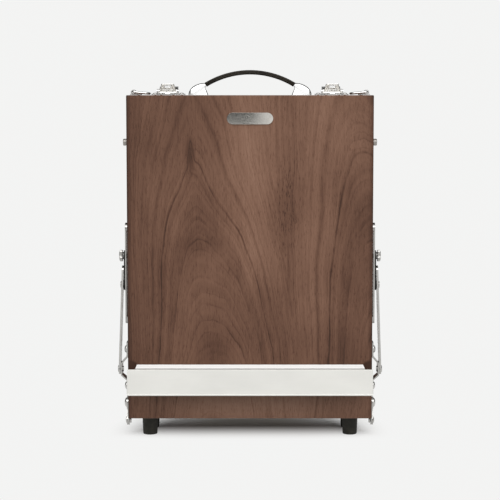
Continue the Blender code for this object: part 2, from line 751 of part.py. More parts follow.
def hinge_lid_leaf():
    """Flat leaf from the lid's side down to the pin below the bottom edge."""
    pin = from_parting((0, -HINGE_DROP))
    screws = [from_parting(p) for p in LID_LEAF_SCREWS]
    low, high = out(GAP, 1.8)
    arm = prism(capsule(pin, screws[0], HINGE_RADIUS), low, high, "X")
    holes = [cylinder(p, PILOT, low - 1, high + 1, "X", 8) for p in screws]
    return cut(arm, cylinder(pin, RIVET_RADIUS + 0.3, low - 1, high + 1, "X"), *holes)


def hinge_tray_leaf():
    """Outer leaf with a pad that reaches the tray's side, and the hinge pin."""
    pin = from_parting((0, -HINGE_DROP))
    screws = [from_parting(p) for p in TRAY_LEAF_SCREWS]
    foot, low, high = out(GAP, 2.1, 3.6)
    arm = prism(capsule(pin, screws[0], HINGE_RADIUS), low, high, "X")
    pad = prism(capsule(screws[0], screws[1], 5.0), foot, low + 0.5, "X")
    rivet_profile = [
        (0, -2.0),
        (4.0, -2.0),
        (4.0, -0.1),
        (RIVET_RADIUS, -0.1),
        (RIVET_RADIUS, 3.6),
        (4.2, 3.6),
        (4.0, 4.5),
        (2.2, 5.2),
        (0, 5.3),
    ]
    rivet = turned(rivet_profile, (HALF, *pin), (1, 0, 0))
    holes = [cylinder(p, PILOT, foot - 1, high + 1, "X", 8) for p in screws]
    return cut(fused(arm, pad, rivet), *holes)


def rivet_head(start):
    """(radius, height) points of a shank's end and the low head on it."""
    rise = RIVET_HEAD[1] - RIVET_HEAD[0]
    crown = [(RIVET_RADIUS, start), (RIVET_HEAD_RADIUS, start), (RIVET_HEAD_RADIUS, start + rise * 0.45)]
    return crown + [(RIVET_HEAD_RADIUS * 0.8, start + rise * 0.85), (0, start + rise)]


def stay_rail():
    """Slotted bar on two pads; the slot follows the path of the slider's stud."""
    upper, lower = [from_parting(p) for p in rail_screw_places()]
    pad, low, high = out(GAP, *RAIL_LAYER)
    half, reach = RAIL_WIDTH / 2, PAD_HEIGHT / 2
    y = upper[0]
    bar_outline = [(y - half, lower[1] - reach, 4), (y + half, lower[1] - reach, 4)]
    bar_outline += [(y + half, upper[1] + reach, 7), (y - half, upper[1] + reach, 7)]
    bar = prism(rounded(bar_outline, 5), low, high, "X")
    top_view = [(y - half, upper[1] - reach, 0), (y + half, upper[1] - reach, 0), *bar_outline[2:]]
    low_view = [*bar_outline[:2], (y + half, lower[1] + reach, 0), (y - half, lower[1] + reach, 0)]
    top_pad = prism(rounded(top_view, 5), pad, low + 0.5, "X")
    low_pad = prism(rounded(low_view, 5), pad, low + 0.5, "X")
    slot = prism(slot_outline(from_parting((SLIDER_PIVOT[0], STUD_HEIGHT))), low - 1, high + 1, "X")
    bores = [cylinder(p, PILOT, pad - 1, high + 1, "X", 8) for p in (upper, lower)]
    recesses = [cylinder(p, SCREW_HEAD + 0.4, HALF + RAIL_SCREW_SEAT, high + 1, "X") for p in (upper, lower)]
    return cut(fused(bar, top_pad, low_pad), slot, *bores, *recesses)


def stay_slider():
    """Plate over the rail, with the threaded stud through the slot and the strut's rivet."""
    stud, joint = from_parting((SLIDER_PIVOT[0], STUD_HEIGHT)), from_parting(SLIDER_PIVOT)
    low, high = out(*SLIDER_LAYER)
    plate = prism(capsule(joint, stud, 7.0), low, high, "X")
    stud_profile = [
        (0, RETAINER_LAYER[0]),
        (RETAINER_RADIUS, RETAINER_LAYER[0]),
        (RETAINER_RADIUS, RETAINER_LAYER[1]),
        (STUD_RADIUS, RETAINER_LAYER[1]),
        (STUD_RADIUS, STUD_END - 0.6),
        (STUD_RADIUS - 0.6, STUD_END),
        (0, STUD_END),
    ]
    boss, head = STRUT_LAYER[0] - STRUT_LEAN - GAP, RIVET_HEAD[0] - STRUT_LEAN
    rivet_profile = [(0, boss - 1), (6.5, boss - 1), (6.5, boss), (RIVET_RADIUS, boss)] + rivet_head(head)
    threaded_stud = turned(stud_profile, (HALF, *stud), (1, 0, 0))
    return fused(plate, threaded_stud, turned(rivet_profile, (HALF, *joint), (1, 0, 0)))


def stay_knob():
    """Thumb nut: a hub and a knurled disc on the stud."""
    stud = from_parting((SLIDER_PIVOT[0], STUD_HEIGHT))
    face, shoulder, crown = out(*NUT_LAYER)
    knurl = []
    for i in range(32):
        turn = 2 * math.pi * i / 32
        radius = 7.4 if i % 2 else 6.9
        knurl.append((stud[0] + radius * math.cos(turn), stud[1] + radius * math.sin(turn)))
    disc = prism(knurl, shoulder, crown - 0.5, "X")
    hub = cylinder(stud, 4.6, face, shoulder + 1, "X")
    crown_step = cylinder(stud, 6.2, shoulder + 1, crown, "X")
    bore = cylinder(stud, STUD_RADIUS + 0.25, face - 1, HALF + STUD_END + 0.4, "X")
    return cut(fused(disc, hub, crown_step), bore)


def stay_strut():
    """Flat bar from the bow bracket past the slider's rivet, leaning in towards its free end."""
    foot, joint = from_parting(BRACKET_PIVOT), from_parting(SLIDER_PIVOT)
    heading = (Vector(joint) - Vector(foot)).normalized()
    end = Vector(joint) + heading * (STRUT_TAIL - STRUT_WIDTH / 2)
    low, high = out(*STRUT_LAYER)
    bar = prism(capsule(foot, tuple(end), STRUT_WIDTH / 2), low, high, "X")
    bores = [cylinder(p, RIVET_RADIUS + 0.3, low - 1, high + 1, "X") for p in (foot, joint)]
    strut = cut(bar, *bores)
    for vert in strut.verts:
        vert.co.x -= STRUT_LEAN * (vert.co.z - foot[1]) / (joint[1] - foot[1])
    return strut


def stay_bracket():
    """Bent strip on the lid's side, bowed outwards to carry the strut's rivet."""
    y, z = from_parting(BRACKET_PIVOT)
    sheet = 1.8
    crest = STRUT_LAYER[0] - GAP
    foot, valley = GAP + sheet, crest - sheet
    outer = [(-31.0, foot), (-14.0, foot), (-7.5, crest), (8.5, crest), (17.0, foot), (35.0, foot)]
    inner = [(35.0, GAP), (16.2, GAP), (7.7, valley), (-6.7, valley), (-13.2, GAP), (-31.0, GAP)]
    outline = [(HALF + x, z + rise) for rise, x in outer + inner]
    strip = prism(outline, y - 9, y + 9, "Y")
    under = valley - 1.2
    tail = [(0, under), (3.6, under), (3.6, crest - 0.5), (RIVET_RADIUS, crest - 0.5)]
    rivet = turned(tail + rivet_head(RIVET_HEAD[0]), (HALF, y, z), (1, 0, 0))
    holes = [cylinder(from_parting(p), PILOT, HALF, HALF + 4, "X", 8) for p in bracket_screw_places()]
    return cut(fused(strip, rivet), *holes)


def make_stays(nickel, blackened, lid_axis):
    for side, word in ((-1, "left"), (1, "right")):
        node(f"hinge_tray_leaf_{word}", handed(hinge_tray_leaf(), side), nickel, smooth=True)
        node(f"hinge_lid_leaf_{word}", handed(hinge_lid_leaf(), side), nickel, parent=lid_axis)
        node(f"stay_rail_{word}", handed(stay_rail(), side), nickel)
        node(f"stay_bracket_{word}", handed(stay_bracket(), side), nickel, parent=lid_axis)
        foot, joint = from_parting(BRACKET_PIVOT), from_parting(SLIDER_PIVOT)
        stud = from_parting((SLIDER_PIVOT[0], STUD_HEIGHT))
        x = side * HALF
        strut = node(f"stay_strut_{word}", handed(stay_strut(), side), nickel, (x, *foot), lid_axis)
        slider = node(f"stay_slider_{word}", handed(stay_slider(), side), blackened, (x, *joint), strut)
        node(f"stay_knob_{word}", handed(stay_knob(), side), nickel, (x, *stud), slider)


# ---------------------------------------------------------------- front fittings


def canvas_ledge():
    """Folded sheet: a flange on the lid, a shelf and a longer hanging lip with a beaded edge."""
    shelf_top = BOTTOM + SHELF_RISE
    back, nose = FRONT - GAP, FRONT - LEDGE_DEPTH
    shelf_front = nose + 0.7 + SHEET
    shelf_view = [
        (back, shelf_top),
        (back, shelf_top - 16),
        (back - SHEET, shelf_top - 16),
        (back - SHEET, shelf_top - SHEET),
        (shelf_front - 0.5, shelf_top - SHEET),
        (shelf_front - 0.5, shelf_top - 0.05),
        (shelf_front + 0.4, shelf_top),
    ]
    shelf = prism(shelf_view, -SHELF_HALF, SHELF_HALF, "X")
    high, low = shelf_top, shelf_top - LIP_DROP
    lip_view = [
        (shelf_front, high - 0.4),
        (shelf_front, low),
        (nose + 0.4, low),
        (nose, low + 0.5),
        (nose, low + 1.4),
        (nose + 0.7, low + 2.3),
        (nose + 0.7, high - 0.7),
        (nose + 1.3, high),
        (shelf_front - 0.4, high),
    ]
    lip = prism(lip_view, -LIP_HALF, LIP_HALF, "X")
    holes = [cylinder(p, PILOT, back - 5, back + 1, "Y", 8) for p in ledge_screw_places()]
    return cut(fused(lip, shelf), *holes)


def make_front_fittings(aluminium, nickel, lid_axis):
    outline = rectangle((0, BOTTOM + BADGE_RISE), *BADGE, BADGE[1] / 2 - 0.01, 9)
    plate = prism(outline, FRONT - 1.2, FRONT - GAP, "Y")
    rim = [e for e in plate.edges if max(v.co.y for v in e.verts) < FRONT - 1.1]
    bmesh.ops.bevel(plate, geom=rim, offset=0.35, segments=1, affect="EDGES")
    node("badge", plate, nickel, parent=lid_axis)
    node("canvas_ledge", canvas_ledge(), aluminium, parent=lid_axis)
    head = [(0, 6.0), (2.6, 5.9), (4.6, 5.0), (5.0, 3.9), (4.6, 2.8), (3.4, 2.4)]
    stud_profile = head + [(3.4, GAP), (1.5, GAP), (1.5, -5), (0, -6)]
    for side, word in ((-1, "left"), (1, "right")):
        stud = turned(stud_profile, (HALF, FRONT + LID_DEPTH / 2, BOTTOM + STUD_RISE), (1, 0, 0))
        node(f"side_stud_{word}", handed(stud, side), nickel, parent=lid_axis, smooth=True)


def main():
    for old in list(bpy.data.objects):
        bpy.data.objects.remove(old)
    walnut = material("walnut", (0.15, 0.075, 0.05), 0.5)
    plywood = material("light_wood", (0.55, 0.38, 0.22), 0.6)
    rubber = material("black_rubber", (0.02, 0.02, 0.02), 0.7)
    leather = material("dark_leather", (0.03, 0.026, 0.024), 0.5)
    chrome = material("chrome", (0.8, 0.8, 0.8), 0.12, 1.0)
    nickel = material("nickel_steel", (0.62, 0.6, 0.57), 0.3, 1.0)
    blackened = material("blackened_steel", (0.05, 0.05, 0.05), 0.45, 0.8)
    steel = material("screw_steel", (0.55, 0.54, 0.52), 0.32, 1.0)
    aluminium = material("pale_aluminium", (0.78, 0.78, 0.76), 0.45, 0.6)
    brass = material("brass", (0.62, 0.48, 0.22), 0.35, 1.0)
    lid_axis = axis_empty("lid_hinge_axis", (0, PARTING, BOTTOM - HINGE_DROP))

    make_tray(walnut, plywood)
    make_lid(walnut, plywood, brass, lid_axis)
    make_feet(rubber, steel)
    make_handle(leather, chrome)
    make_latches(chrome, lid_axis)
    make_rings(chrome)
    make_stays(nickel, blackened, lid_axis)
    make_front_fittings(aluminium, nickel, lid_axis)


main()
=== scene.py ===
"""The looks of the walnut sketch-box easel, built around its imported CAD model.

The numbers in the tables are millimetres, and each mesh is scaled to metres as it is made.
"""

import json
import math

import bmesh
import bpy
from mathutils import Matrix, Vector

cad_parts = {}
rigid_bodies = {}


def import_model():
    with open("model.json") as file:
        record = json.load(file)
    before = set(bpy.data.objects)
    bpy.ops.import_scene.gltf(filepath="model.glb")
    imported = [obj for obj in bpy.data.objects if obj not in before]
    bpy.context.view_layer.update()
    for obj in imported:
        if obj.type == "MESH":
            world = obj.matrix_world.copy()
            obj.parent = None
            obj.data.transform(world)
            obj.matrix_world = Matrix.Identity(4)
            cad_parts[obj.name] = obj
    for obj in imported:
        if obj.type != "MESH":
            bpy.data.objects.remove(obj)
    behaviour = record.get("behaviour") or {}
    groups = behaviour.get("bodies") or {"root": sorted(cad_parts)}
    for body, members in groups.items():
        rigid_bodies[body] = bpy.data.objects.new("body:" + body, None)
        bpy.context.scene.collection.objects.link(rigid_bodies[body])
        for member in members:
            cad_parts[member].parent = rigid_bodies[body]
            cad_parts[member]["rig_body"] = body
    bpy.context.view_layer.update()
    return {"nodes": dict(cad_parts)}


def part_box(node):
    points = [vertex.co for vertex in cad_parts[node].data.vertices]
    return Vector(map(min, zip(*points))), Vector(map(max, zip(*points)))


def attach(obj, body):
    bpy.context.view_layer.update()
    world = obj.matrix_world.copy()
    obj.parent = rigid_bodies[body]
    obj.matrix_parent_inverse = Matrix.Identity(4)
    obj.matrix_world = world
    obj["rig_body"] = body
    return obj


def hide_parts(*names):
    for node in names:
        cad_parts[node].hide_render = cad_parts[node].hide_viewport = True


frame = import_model()

MM = 0.001
SIDES = ((-1, "left"), (1, "right"))

# Planes of the case, read from the CAD nodes; the parting plane is between lid and tray
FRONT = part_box("lid_front_panel")[0].y / MM
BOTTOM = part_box("tray_bottom_side")[0].z / MM
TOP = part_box("tray_top_side")[1].z / MM
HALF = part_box("tray_right_side")[1].x / MM
PARTING = (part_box("lid_top_side")[1].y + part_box("tray_top_side")[0].y) / 2 / MM


# ---------------------------------------------------------------- shader building


class Nodes:
    """A node tree whose nodes are added and linked by short calls."""

    def __init__(self, tree):
        self.tree = tree

    def feed(self, socket, value):
        """Puts a plain number or colour on a socket, or links an output to it."""
        if isinstance(value, bpy.types.NodeSocket):
            self.tree.links.new(value, socket)
        elif isinstance(value, tuple) and socket.type == "RGBA":
            socket.default_value = (*value, 1)
        else:
            socket.default_value = value

    def add(self, kind, inputs=None, **settings):
        node = self.tree.nodes.new(kind)
        for name, value in settings.items():
            setattr(node, name, value)
        for key, value in (inputs or {}).items():
            self.feed(node.inputs[key], value)
        return node

    def math(self, operation, *values):
        inputs = dict(enumerate(values))
        return self.add("ShaderNodeMath", inputs, operation=operation).outputs[0]

    def centred(self, value):
        """A noise from 0 to 1, moved to lie around 0."""
        return self.math("SUBTRACT", value, 0.5)

    def vector_math(self, operation, *vectors):
        inputs = dict(enumerate(vectors))
        return self.add("ShaderNodeVectorMath", inputs, operation=operation).outputs[0]

    def length(self, vector):
        node = self.add("ShaderNodeVectorMath", {0: vector}, operation="LENGTH")
        return node.outputs["Value"]

    def place(self, scale=(1, 1, 1), offset=(0, 0, 0), turn=(0, 0, 0)):
        """The point in the part's frame, in millimetres, turned, scaled and moved."""
        point = self.add("ShaderNodeTexCoord").outputs["Object"]
        factors = tuple(s / MM for s in scale)
        inputs = {"Vector": point, "Location": offset, "Rotation": turn, "Scale": factors}
        return self.add("ShaderNodeMapping", inputs).outputs[0]

    def parts(self, vector):
        return self.add("ShaderNodeSeparateXYZ", {0: vector}).outputs

    def noise(self, vector, scale=1.0, detail=2.0, roughness=0.5):
        inputs = {"Vector": vector, "Scale": scale, "Detail": detail, "Roughness": roughness}
        return self.add("ShaderNodeTexNoise", inputs).outputs["Fac"]

    def line_noise(self, value, scale, detail=2.0):
        """Noise that changes along one value only."""
        inputs = {"W": value, "Scale": scale, "Detail": detail, "Roughness": 0.5}
        return self.add("ShaderNodeTexNoise", inputs, noise_dimensions="1D").outputs["Fac"]

    def ranged(self, value, low, high, out_low=0.0, out_high=1.0, smooth=True):
        """Out_low below low, out_high above high, and a smooth or straight change between."""
        inputs = {"Value": value, "From Min": low, "From Max": high}
        inputs.update({"To Min": out_low, "To Max": out_high})
        kind = "SMOOTHSTEP" if smooth else "LINEAR"
        return self.add("ShaderNodeMapRange", inputs, interpolation_type=kind).outputs[0]

    def hump(self, value, half_width, peak=1.0):
        """The peak where the value is 0, falling to nothing on both sides."""
        return self.ranged(self.math("ABSOLUTE", value), 0.0, half_width, peak, 0.0)

    def ramp(self, factor, stops):
        node = self.add("ShaderNodeValToRGB", {"Fac": factor})
        points = node.color_ramp.elements
        while len(points) < len(stops):
            points.new(0.5)
        for point, (position, colour) in zip(points, stops):
            point.position = position
            point.color = (*colour, 1)
        return node.outputs["Color"]

    def mix(self, factor, one, two):
        node = self.add("ShaderNodeMix", data_type="RGBA")
        self.feed(node.inputs["Factor"], factor)
        self.feed(node.inputs["A"], one)
        self.feed(node.inputs["B"], two)
        return node.outputs["Result"]


class Finish(Nodes):
    """A material with one Principled shader."""

    def __init__(self, name, roughness=0.5, metallic=0.0):
        self.material = bpy.data.materials.new(name)
        self.material.use_nodes = True
        super().__init__(self.material.node_tree)
        self.shader = self.tree.nodes["Principled BSDF"]
        self.set("Roughness", roughness)
        self.set("Metallic", metallic)

    def set(self, socket, value):
        self.feed(self.shader.inputs[socket], value)

    def bump(self, height, distance):
        """Surface relief of a height from 0 to 1, in millimetres."""
        inputs = {"Height": height, "Distance": distance * MM, "Strength": 1.0}
        self.set("Normal", self.add("ShaderNodeBump", inputs).outputs["Normal"])


# ---------------------------------------------------------------- wood


# How much each kind of noise moves the tone of a board
BANDS_WEIGHT = 0.29
FINE_RINGS_WEIGHT = 0.16
STREAKS_WEIGHT = 0.19
HAIRS_WEIGHT = 0.18
CLOUDS_WEIGHT = 0.42
FAINT_LINES_WEIGHT = -0.11
MIDDLE_TONE = 0.50
PORE_DARKNESS = 0.16
PORE_RELIEF = 0.10


def wood_surface(
    finish, rings, fibre, tones, spread=1.0, lines=None, shade=0.0, pits=PORE_DARKNESS
):
    """Colour, gloss and pores of a board.

    rings is the value that is equal along a growth ring, and spread how fast it changes.
    fibre is a vector in millimetres whose Z runs with the grain. lines darkens the clear
    rings, shade moves the tone of whole areas and on the front board carries painted shade
    and light, and pits is how dark the pores are.
    """
    long = finish.vector_math("MULTIPLY", fibre, (1.0, 1.0, 0.030))
    short = finish.vector_math("MULTIPLY", fibre, (1.0, 1.0, 0.13))
    bands = finish.line_noise(rings, 0.013)
    fine_rings = finish.line_noise(rings, 0.085)
    crossing = finish.line_noise(finish.math("ADD", rings, 731.0), 0.019, 1)
    from_line = finish.math("ABSOLUTE", finish.centred(crossing))
    from_line = finish.math("DIVIDE", from_line, spread)
    faint = finish.ranged(from_line, 0.0, 0.016, 1.0, 0.0)
    streaks = finish.noise(long, 0.42, 3, 0.6)
    hairs = finish.noise(long, 1.3, 2, 0.6)
    pores = finish.ranged(finish.noise(short, 1.05, 2, 0.6), 0.53, 0.68)
    clouds = finish.noise(finish.place((1, 1, 0.6), (37, 0, 11)), 0.016, 3, 0.55)
    gaps = finish.noise(finish.place((1, 1, 0.4), (0, 50, 0)), 0.040, 3, 0.6)
    gaps = finish.ranged(gaps, 0.38, 0.60, 0.25, 1.0)

    tone = finish.math("ADD", shade, MIDDLE_TONE)
    for value, weight in (
        (bands, BANDS_WEIGHT),
        (fine_rings, FINE_RINGS_WEIGHT),
        (streaks, STREAKS_WEIGHT),
        (hairs, HAIRS_WEIGHT),
        (clouds, CLOUDS_WEIGHT),
    ):
        tone = finish.math("MULTIPLY_ADD", finish.centred(value), weight, tone)
    broken = finish.math("MULTIPLY", faint, gaps)
    tone = finish.math("MULTIPLY_ADD", broken, FAINT_LINES_WEIGHT, tone)
    tone = finish.math("SUBTRACT", tone, finish.math("MULTIPLY", pores, pits))
    if lines:
        tone = finish.math("MULTIPLY_ADD", finish.math("MULTIPLY", lines, gaps), -1.0, tone)
    finish.set("Base Color", finish.ramp(tone, tones))
    finish.set("Specular IOR Level", 0.22)
    gloss = finish.ranged(streaks, 0.3, 0.7, 0.54, 0.44)
    finish.set("Roughness", finish.math("MULTIPLY_ADD", pores, 0.2, gloss))
    height = finish.math("MULTIPLY_ADD", pores, -0.7, finish.math("MULTIPLY", hairs, 0.5))
    finish.bump(height, PORE_RELIEF)


WALNUT_TONES = (
    (0.00, (0.0286, 0.0119, 0.0064)),
    (0.30, (0.0615, 0.0276, 0.0161)),
    (0.50, (0.0935, 0.0456, 0.0280)),
    (0.70, (0.1290, 0.0670, 0.0430)),
    (1.00, (0.1830, 0.1040, 0.0710)),
)
BIRCH_TONES = (
    (0.00, (0.36, 0.22, 0.11)),
    (0.35, (0.52, 0.36, 0.20)),
    (0.65, (0.62, 0.45, 0.27)),
    (1.00, (0.72, 0.56, 0.37)),
)

# Clear growth rings of the front board: height of the arch's top, half width of the line,
# and how much darker the line is
CLEAR_RINGS = (
    (127, 1.1, 0.26),
    (148, 0.9, 0.10),
    (228, 1.5, 0.22),
    (252, 0.9, 0.09),
    (334, 1.8, 0.38),
    (352, 1.0, 0.14),
    (425, 1.0, 0.10),
)
# Darker and lighter areas of the front board: centre, half sizes, change of tone. The dark
# bands at the two edges are painted shade on the rounded edges, the lighter strip below the
# ledge is painted light where the ledge shades the board, and the dark spots at the shelf's
# ends are painted shadow in the notches. The others make the board darker or lighter in places
WOOD_TONE_AND_PAINTED_LIGHT_AREAS = (
    ((-158, 205), (50, 420), -0.14),
    # Painted shade on the board's two rounded edges
    ((-155, 205), (6, 1400), -0.30),
    ((155, 205), (6, 1400), -0.30),
    ((-130, 380), (80, 90), -0.08),
    ((-75, 336), (8, 30), -0.34),
    ((140, 250), (34, 60), -0.12),
    ((-46, 92), (34, 44), -0.12),
    ((-60, 222), (44, 16), -0.14),
    ((-22, 196), (20, 40), -0.14),
    ((50, 262), (22, 60), -0.14),
    ((2, 340), (52, 200), 0.30),
    ((-10, 205), (60, 60), 0.15),
    ((82, 240), (44, 190), 0.17),
    ((100, 390), (90, 90), 0.17),
    # Painted light: the strip below the ledge made lighter where the ledge shades it
    ((0, 20), (260, 34), 0.42),
    # Painted shadow: the dark notches beside the shelf's ends
    ((-151, 67), (9, 8), -1.50),
    ((151, 67), (9, 8), -1.50),
    ((-140, 30), (70, 90), -0.13),
    ((140, 30), (70, 90), -0.13),
)
# An area has faded away at this many half sizes from its centre
AREA_EDGE = 1.15
# Soft band beside a clear ring: its width, and its depth as a share of the line's
BAND_WIDTH = 4.5
BAND_SHARE = 0.4
# Axes of the two arches: two heights, and where the axis is at each of them
LEFT_AXIS = (90, 330, -47, -75)
RIGHT_AXIS = (60, 400, 186, 134)
LEFT_FLANK_STEEPER = 1.12
# The left arch changes from bowed to pointed between these heights
POINTED_FROM, POINTED_TO = 225, 315
ARCHES_BLEND = 90.0
# How far broad and fine waves move the rings sideways and upwards, in mm
WANDER_SIDEWAYS, WANDER_UP = 16.0, 30.0
JITTER_SIDEWAYS, JITTER_UP = 2.4, 6.0
# How far the rings shift per millimetre of depth, seen on the board's edges
LEVEL_PER_DEPTH = 3.0
# Width of the lines at an arch's axis, and its gain per millimetre beside it
SPREAD_AT_AXIS, SPREAD_GAIN = 1.2, 0.070
# Narrow tip on top of the left arch
TIP_WIDTH = 7.0
TIP_HEIGHT = 22.0
TIP_FROM, TIP_TO = 315, 335
# Pitted streak beside the middle of the board
STREAK_X, STREAK_WIDTH = 48.0, 24.0
STREAK_Z = 270.0
STREAK_DARKNESS = 0.34


def from_axis(finish, x, axis, left_steeper=1.0):
    """Distance from an arch's axis, counted larger on the left of it."""
    off = finish.math("SUBTRACT", x, axis)
    return finish.math("MAXIMUM", off, finish.math("MULTIPLY", off, -left_steeper))


def arch_fall(finish, away, wander, jitter, point, square, cube):
    """How far an arch has come down at a distance from its axis; point is the tip's slope."""
    away = finish.math("MULTIPLY_ADD", wander, WANDER_SIDEWAYS, away)
    away = finish.math("ABSOLUTE", finish.math("MULTIPLY_ADD", jitter, JITTER_SIDEWAYS, away))
    bow = finish.math("MULTIPLY_ADD", away, cube, square)
    return finish.math("MULTIPLY", away, finish.math("MULTIPLY_ADD", bow, away, point))


def clear_lines(finish, level, spread):
    """Darkness of the clear rings: a thin line each, with a soft band on its outer side."""
    lines = 0.0
    for apex, width, depth in CLEAR_RINGS:
        past = finish.math("DIVIDE", finish.math("SUBTRACT", level, float(apex)), spread)
        lines = finish.math("ADD", lines, finish.hump(past, width, depth))
        rises = finish.ranged(past, -0.4, 0.2)
        fades = finish.ranged(past, 0.0, BAND_WIDTH, depth * BAND_SHARE, 0.0)
        lines = finish.math("ADD", lines, finish.math("MULTIPLY", rises, fades))
    return lines


def wood_tone_and_painted_light(finish, board):
    """Change of tone from all the areas together, painted shade and light among them."""
    shade = 0.0
    for (out, up), (wide, tall), change in WOOD_TONE_AND_PAINTED_LIGHT_AREAS:
        moved = finish.vector_math("SUBTRACT", board, (out, 0, up))
        sized = finish.vector_math("MULTIPLY", moved, (1 / wide, 0, 1 / tall))
        part = finish.ranged(finish.length(sized), 0.0, AREA_EDGE, change, 0.0)
        shade = finish.math("ADD", shade, part)
    return shade


def figured_walnut(name):
    """Front board: two nested arches of grain, the right one cut by the board's edge."""
    finish = Finish(name)
    board = finish.place(offset=(0, -FRONT, -BOTTOM))
    x, y, z = finish.parts(board)
    wander = finish.centred(finish.noise(finish.place((1, 1, 0.35)), 0.018))
    jitter = finish.centred(finish.noise(finish.place((1, 1, 0.30)), 0.11, 3, 0.6))
    left_away = from_axis(finish, x, finish.ranged(z, *LEFT_AXIS, smooth=False), LEFT_FLANK_STEEPER)
    right_away = from_axis(finish, x, finish.ranged(z, *RIGHT_AXIS, smooth=False))
    pointed = finish.ranged(z, POINTED_FROM, POINTED_TO, 0.10, 1.7)
    bowed = finish.ranged(z, POINTED_FROM, POINTED_TO, 0.026, 0.010)
    left = arch_fall(finish, left_away, wander, jitter, pointed, bowed, 0.00022)
    right = arch_fall(finish, right_away, wander, jitter, 0.0, 0.034, 0.00003)
    near_axis = finish.ranged(left_away, 0.0, TIP_WIDTH, 1.0, 0.0)
    tip = finish.math("MULTIPLY", near_axis, finish.ranged(z, TIP_FROM, TIP_TO))
    left = finish.math("MULTIPLY_ADD", tip, -TIP_HEIGHT, left)

    level = finish.math("SMOOTH_MIN", left, right, ARCHES_BLEND)
    level = finish.math("ADD", finish.math("MULTIPLY_ADD", y, LEVEL_PER_DEPTH, z), level)
    level = finish.math("MULTIPLY_ADD", wander, WANDER_UP, level)
    level = finish.math("MULTIPLY_ADD", jitter, JITTER_UP, level)
    nearest = finish.math("MINIMUM", left_away, right_away)
    spread = finish.math("MULTIPLY_ADD", nearest, SPREAD_GAIN, SPREAD_AT_AXIS)

    valley = finish.hump(finish.math("SUBTRACT", x, STREAK_X), STREAK_WIDTH)
    from_middle = finish.math("ABSOLUTE", finish.math("SUBTRACT", z, STREAK_Z))
    middle = finish.ranged(from_middle, 10.0, 80.0, STREAK_DARKNESS, 0.0)
    pits = finish.math("MULTIPLY_ADD", valley, middle, PORE_DARKNESS)
    lines = clear_lines(finish, level, spread)
    # Painted shade and light on the edges, below the ledge and in the notches, with the other areas
    shade = wood_tone_and_painted_light(finish, board)
    fibre = finish.place(offset=(17, 3, 0))
    wood_surface(finish, level, fibre, WALNUT_TONES, spread, lines, shade, pits)
    return finish.material


def straight_walnut(name, along, seed, tones=WALNUT_TONES):
    """Plain board with its grain along X or Z; end faces show the rings as arcs."""
    finish = Finish(name)
    turn = (0, 0, 0) if along == "Z" else (0, math.pi / 2, 0)
    fibre = finish.place(turn=turn, offset=(seed * 13.7, seed * 7.3, seed * 31.0))
    a, b, along_grain = finish.parts(fibre)
    wavy = finish.place(turn=turn, scale=(1, 1, 0.12), offset=(seed * 5.1, 0, 0))
    wander = finish.noise(wavy, 0.03)
    away_a = finish.math("ADD", a, 60.0 + 9 * seed)
    away_b = finish.math("ADD", b, 95.0 - 6 * seed)
    squares = [finish.math("POWER", away, 2.0) for away in (away_a, away_b)]
    radius = finish.math("SQRT", finish.math("ADD", *squares))
    level = finish.math("MULTIPLY_ADD", radius, 7.0, finish.math("MULTIPLY", along_grain, 0.12))
    level = finish.math("MULTIPLY_ADD", wander, 120.0, level)
    wood_surface(finish, level, fibre, tones)
    return finish.material


# ---------------------------------------------------------------- other finishes


BRUSHED_SCALES = {"X": (0.03, 1, 1), "Z": (1, 1, 0.03)}


def metal(name, colour, roughness, brushed=None, depth=0.02, spots=0.12):
    """Plated or bare metal with uneven gloss, faint marks and, if asked, a brushed direction."""
    finish = Finish(name, metallic=1.0)
    cloud = finish.noise(finish.place(), 0.10, 3, 0.6)
    if brushed:
        lines = finish.noise(finish.place(BRUSHED_SCALES[brushed]), 3.2, 3, 0.7)
    else:
        lines = finish.noise(finish.place(), 1.7, 2, 0.7)
    dull = tuple(c * (1 - spots) for c in colour)
    finish.set("Base Color", finish.mix(finish.ranged(cloud, 0.35, 0.7), colour, dull))
    uneven = finish.math("MULTIPLY_ADD", finish.centred(cloud), 0.16, roughness)
    uneven = finish.math("MULTIPLY_ADD", finish.centred(lines), 0.20, uneven)
    finish.set("Roughness", uneven)
    finish.bump(lines, depth)
    return finish.material


LEDGE_RISE = 69.6
LEDGE_REACH = 40.0


def white_sheet(name):
    """White satin sheet with a faint drawn texture along its length. The shelf's top is painted
    whiter: painted light for the light that falls on it from above.
    """
    finish = Finish(name)
    lines = finish.noise(finish.place((0.02, 1, 1)), 2.4, 3, 0.6)
    cloud = finish.noise(finish.place((0.4, 1, 1)), 0.03, 3, 0.6)
    tone = finish.math("MULTIPLY_ADD", finish.centred(lines), 0.25, cloud)
    sheet = finish.ramp(tone, ((0.25, (0.455, 0.450, 0.427)), (0.75, (0.500, 0.495, 0.470))))
    _, y, z = finish.parts(finish.place(offset=(0, -FRONT, -BOTTOM)))
    # Painted light: the shelf's top gets a whiter colour than the lip
    on_top = finish.ranged(z, LEDGE_RISE - 1.4, LEDGE_RISE - 0.6)
    behind_lip = finish.ranged(y, 2.9 - LEDGE_REACH, 3.6 - LEDGE_REACH)
    shelf_painted_light = finish.math("MULTIPLY", on_top, behind_lip)
    finish.set("Base Color", finish.mix(shelf_painted_light, sheet, (0.80, 0.80, 0.79)))
    finish.set("Roughness", finish.ranged(lines, 0.3, 0.7, 0.42, 0.52))
    finish.set("Specular IOR Level", 0.12)
    finish.bump(lines, 0.010)
    return finish.material


def rubber(name):
    """Black moulded rubber with a fine grain and a little dust."""
    finish = Finish(name)
    speckle = finish.noise(finish.place(), 1.1, 4, 0.7)
    dust = finish.noise(finish.place(), 0.16, 3, 0.6)
    stops = ((0.35, (0.011, 0.0105, 0.0080)), (0.75, (0.025, 0.0235, 0.0175)))
    finish.set("Base Color", finish.ramp(dust, stops))
    finish.set("Roughness", finish.ranged(speckle, 0.3, 0.7, 0.52, 0.72))
    finish.set("Specular IOR Level", 0.2)
    finish.bump(speckle, 0.12)
    return finish.material


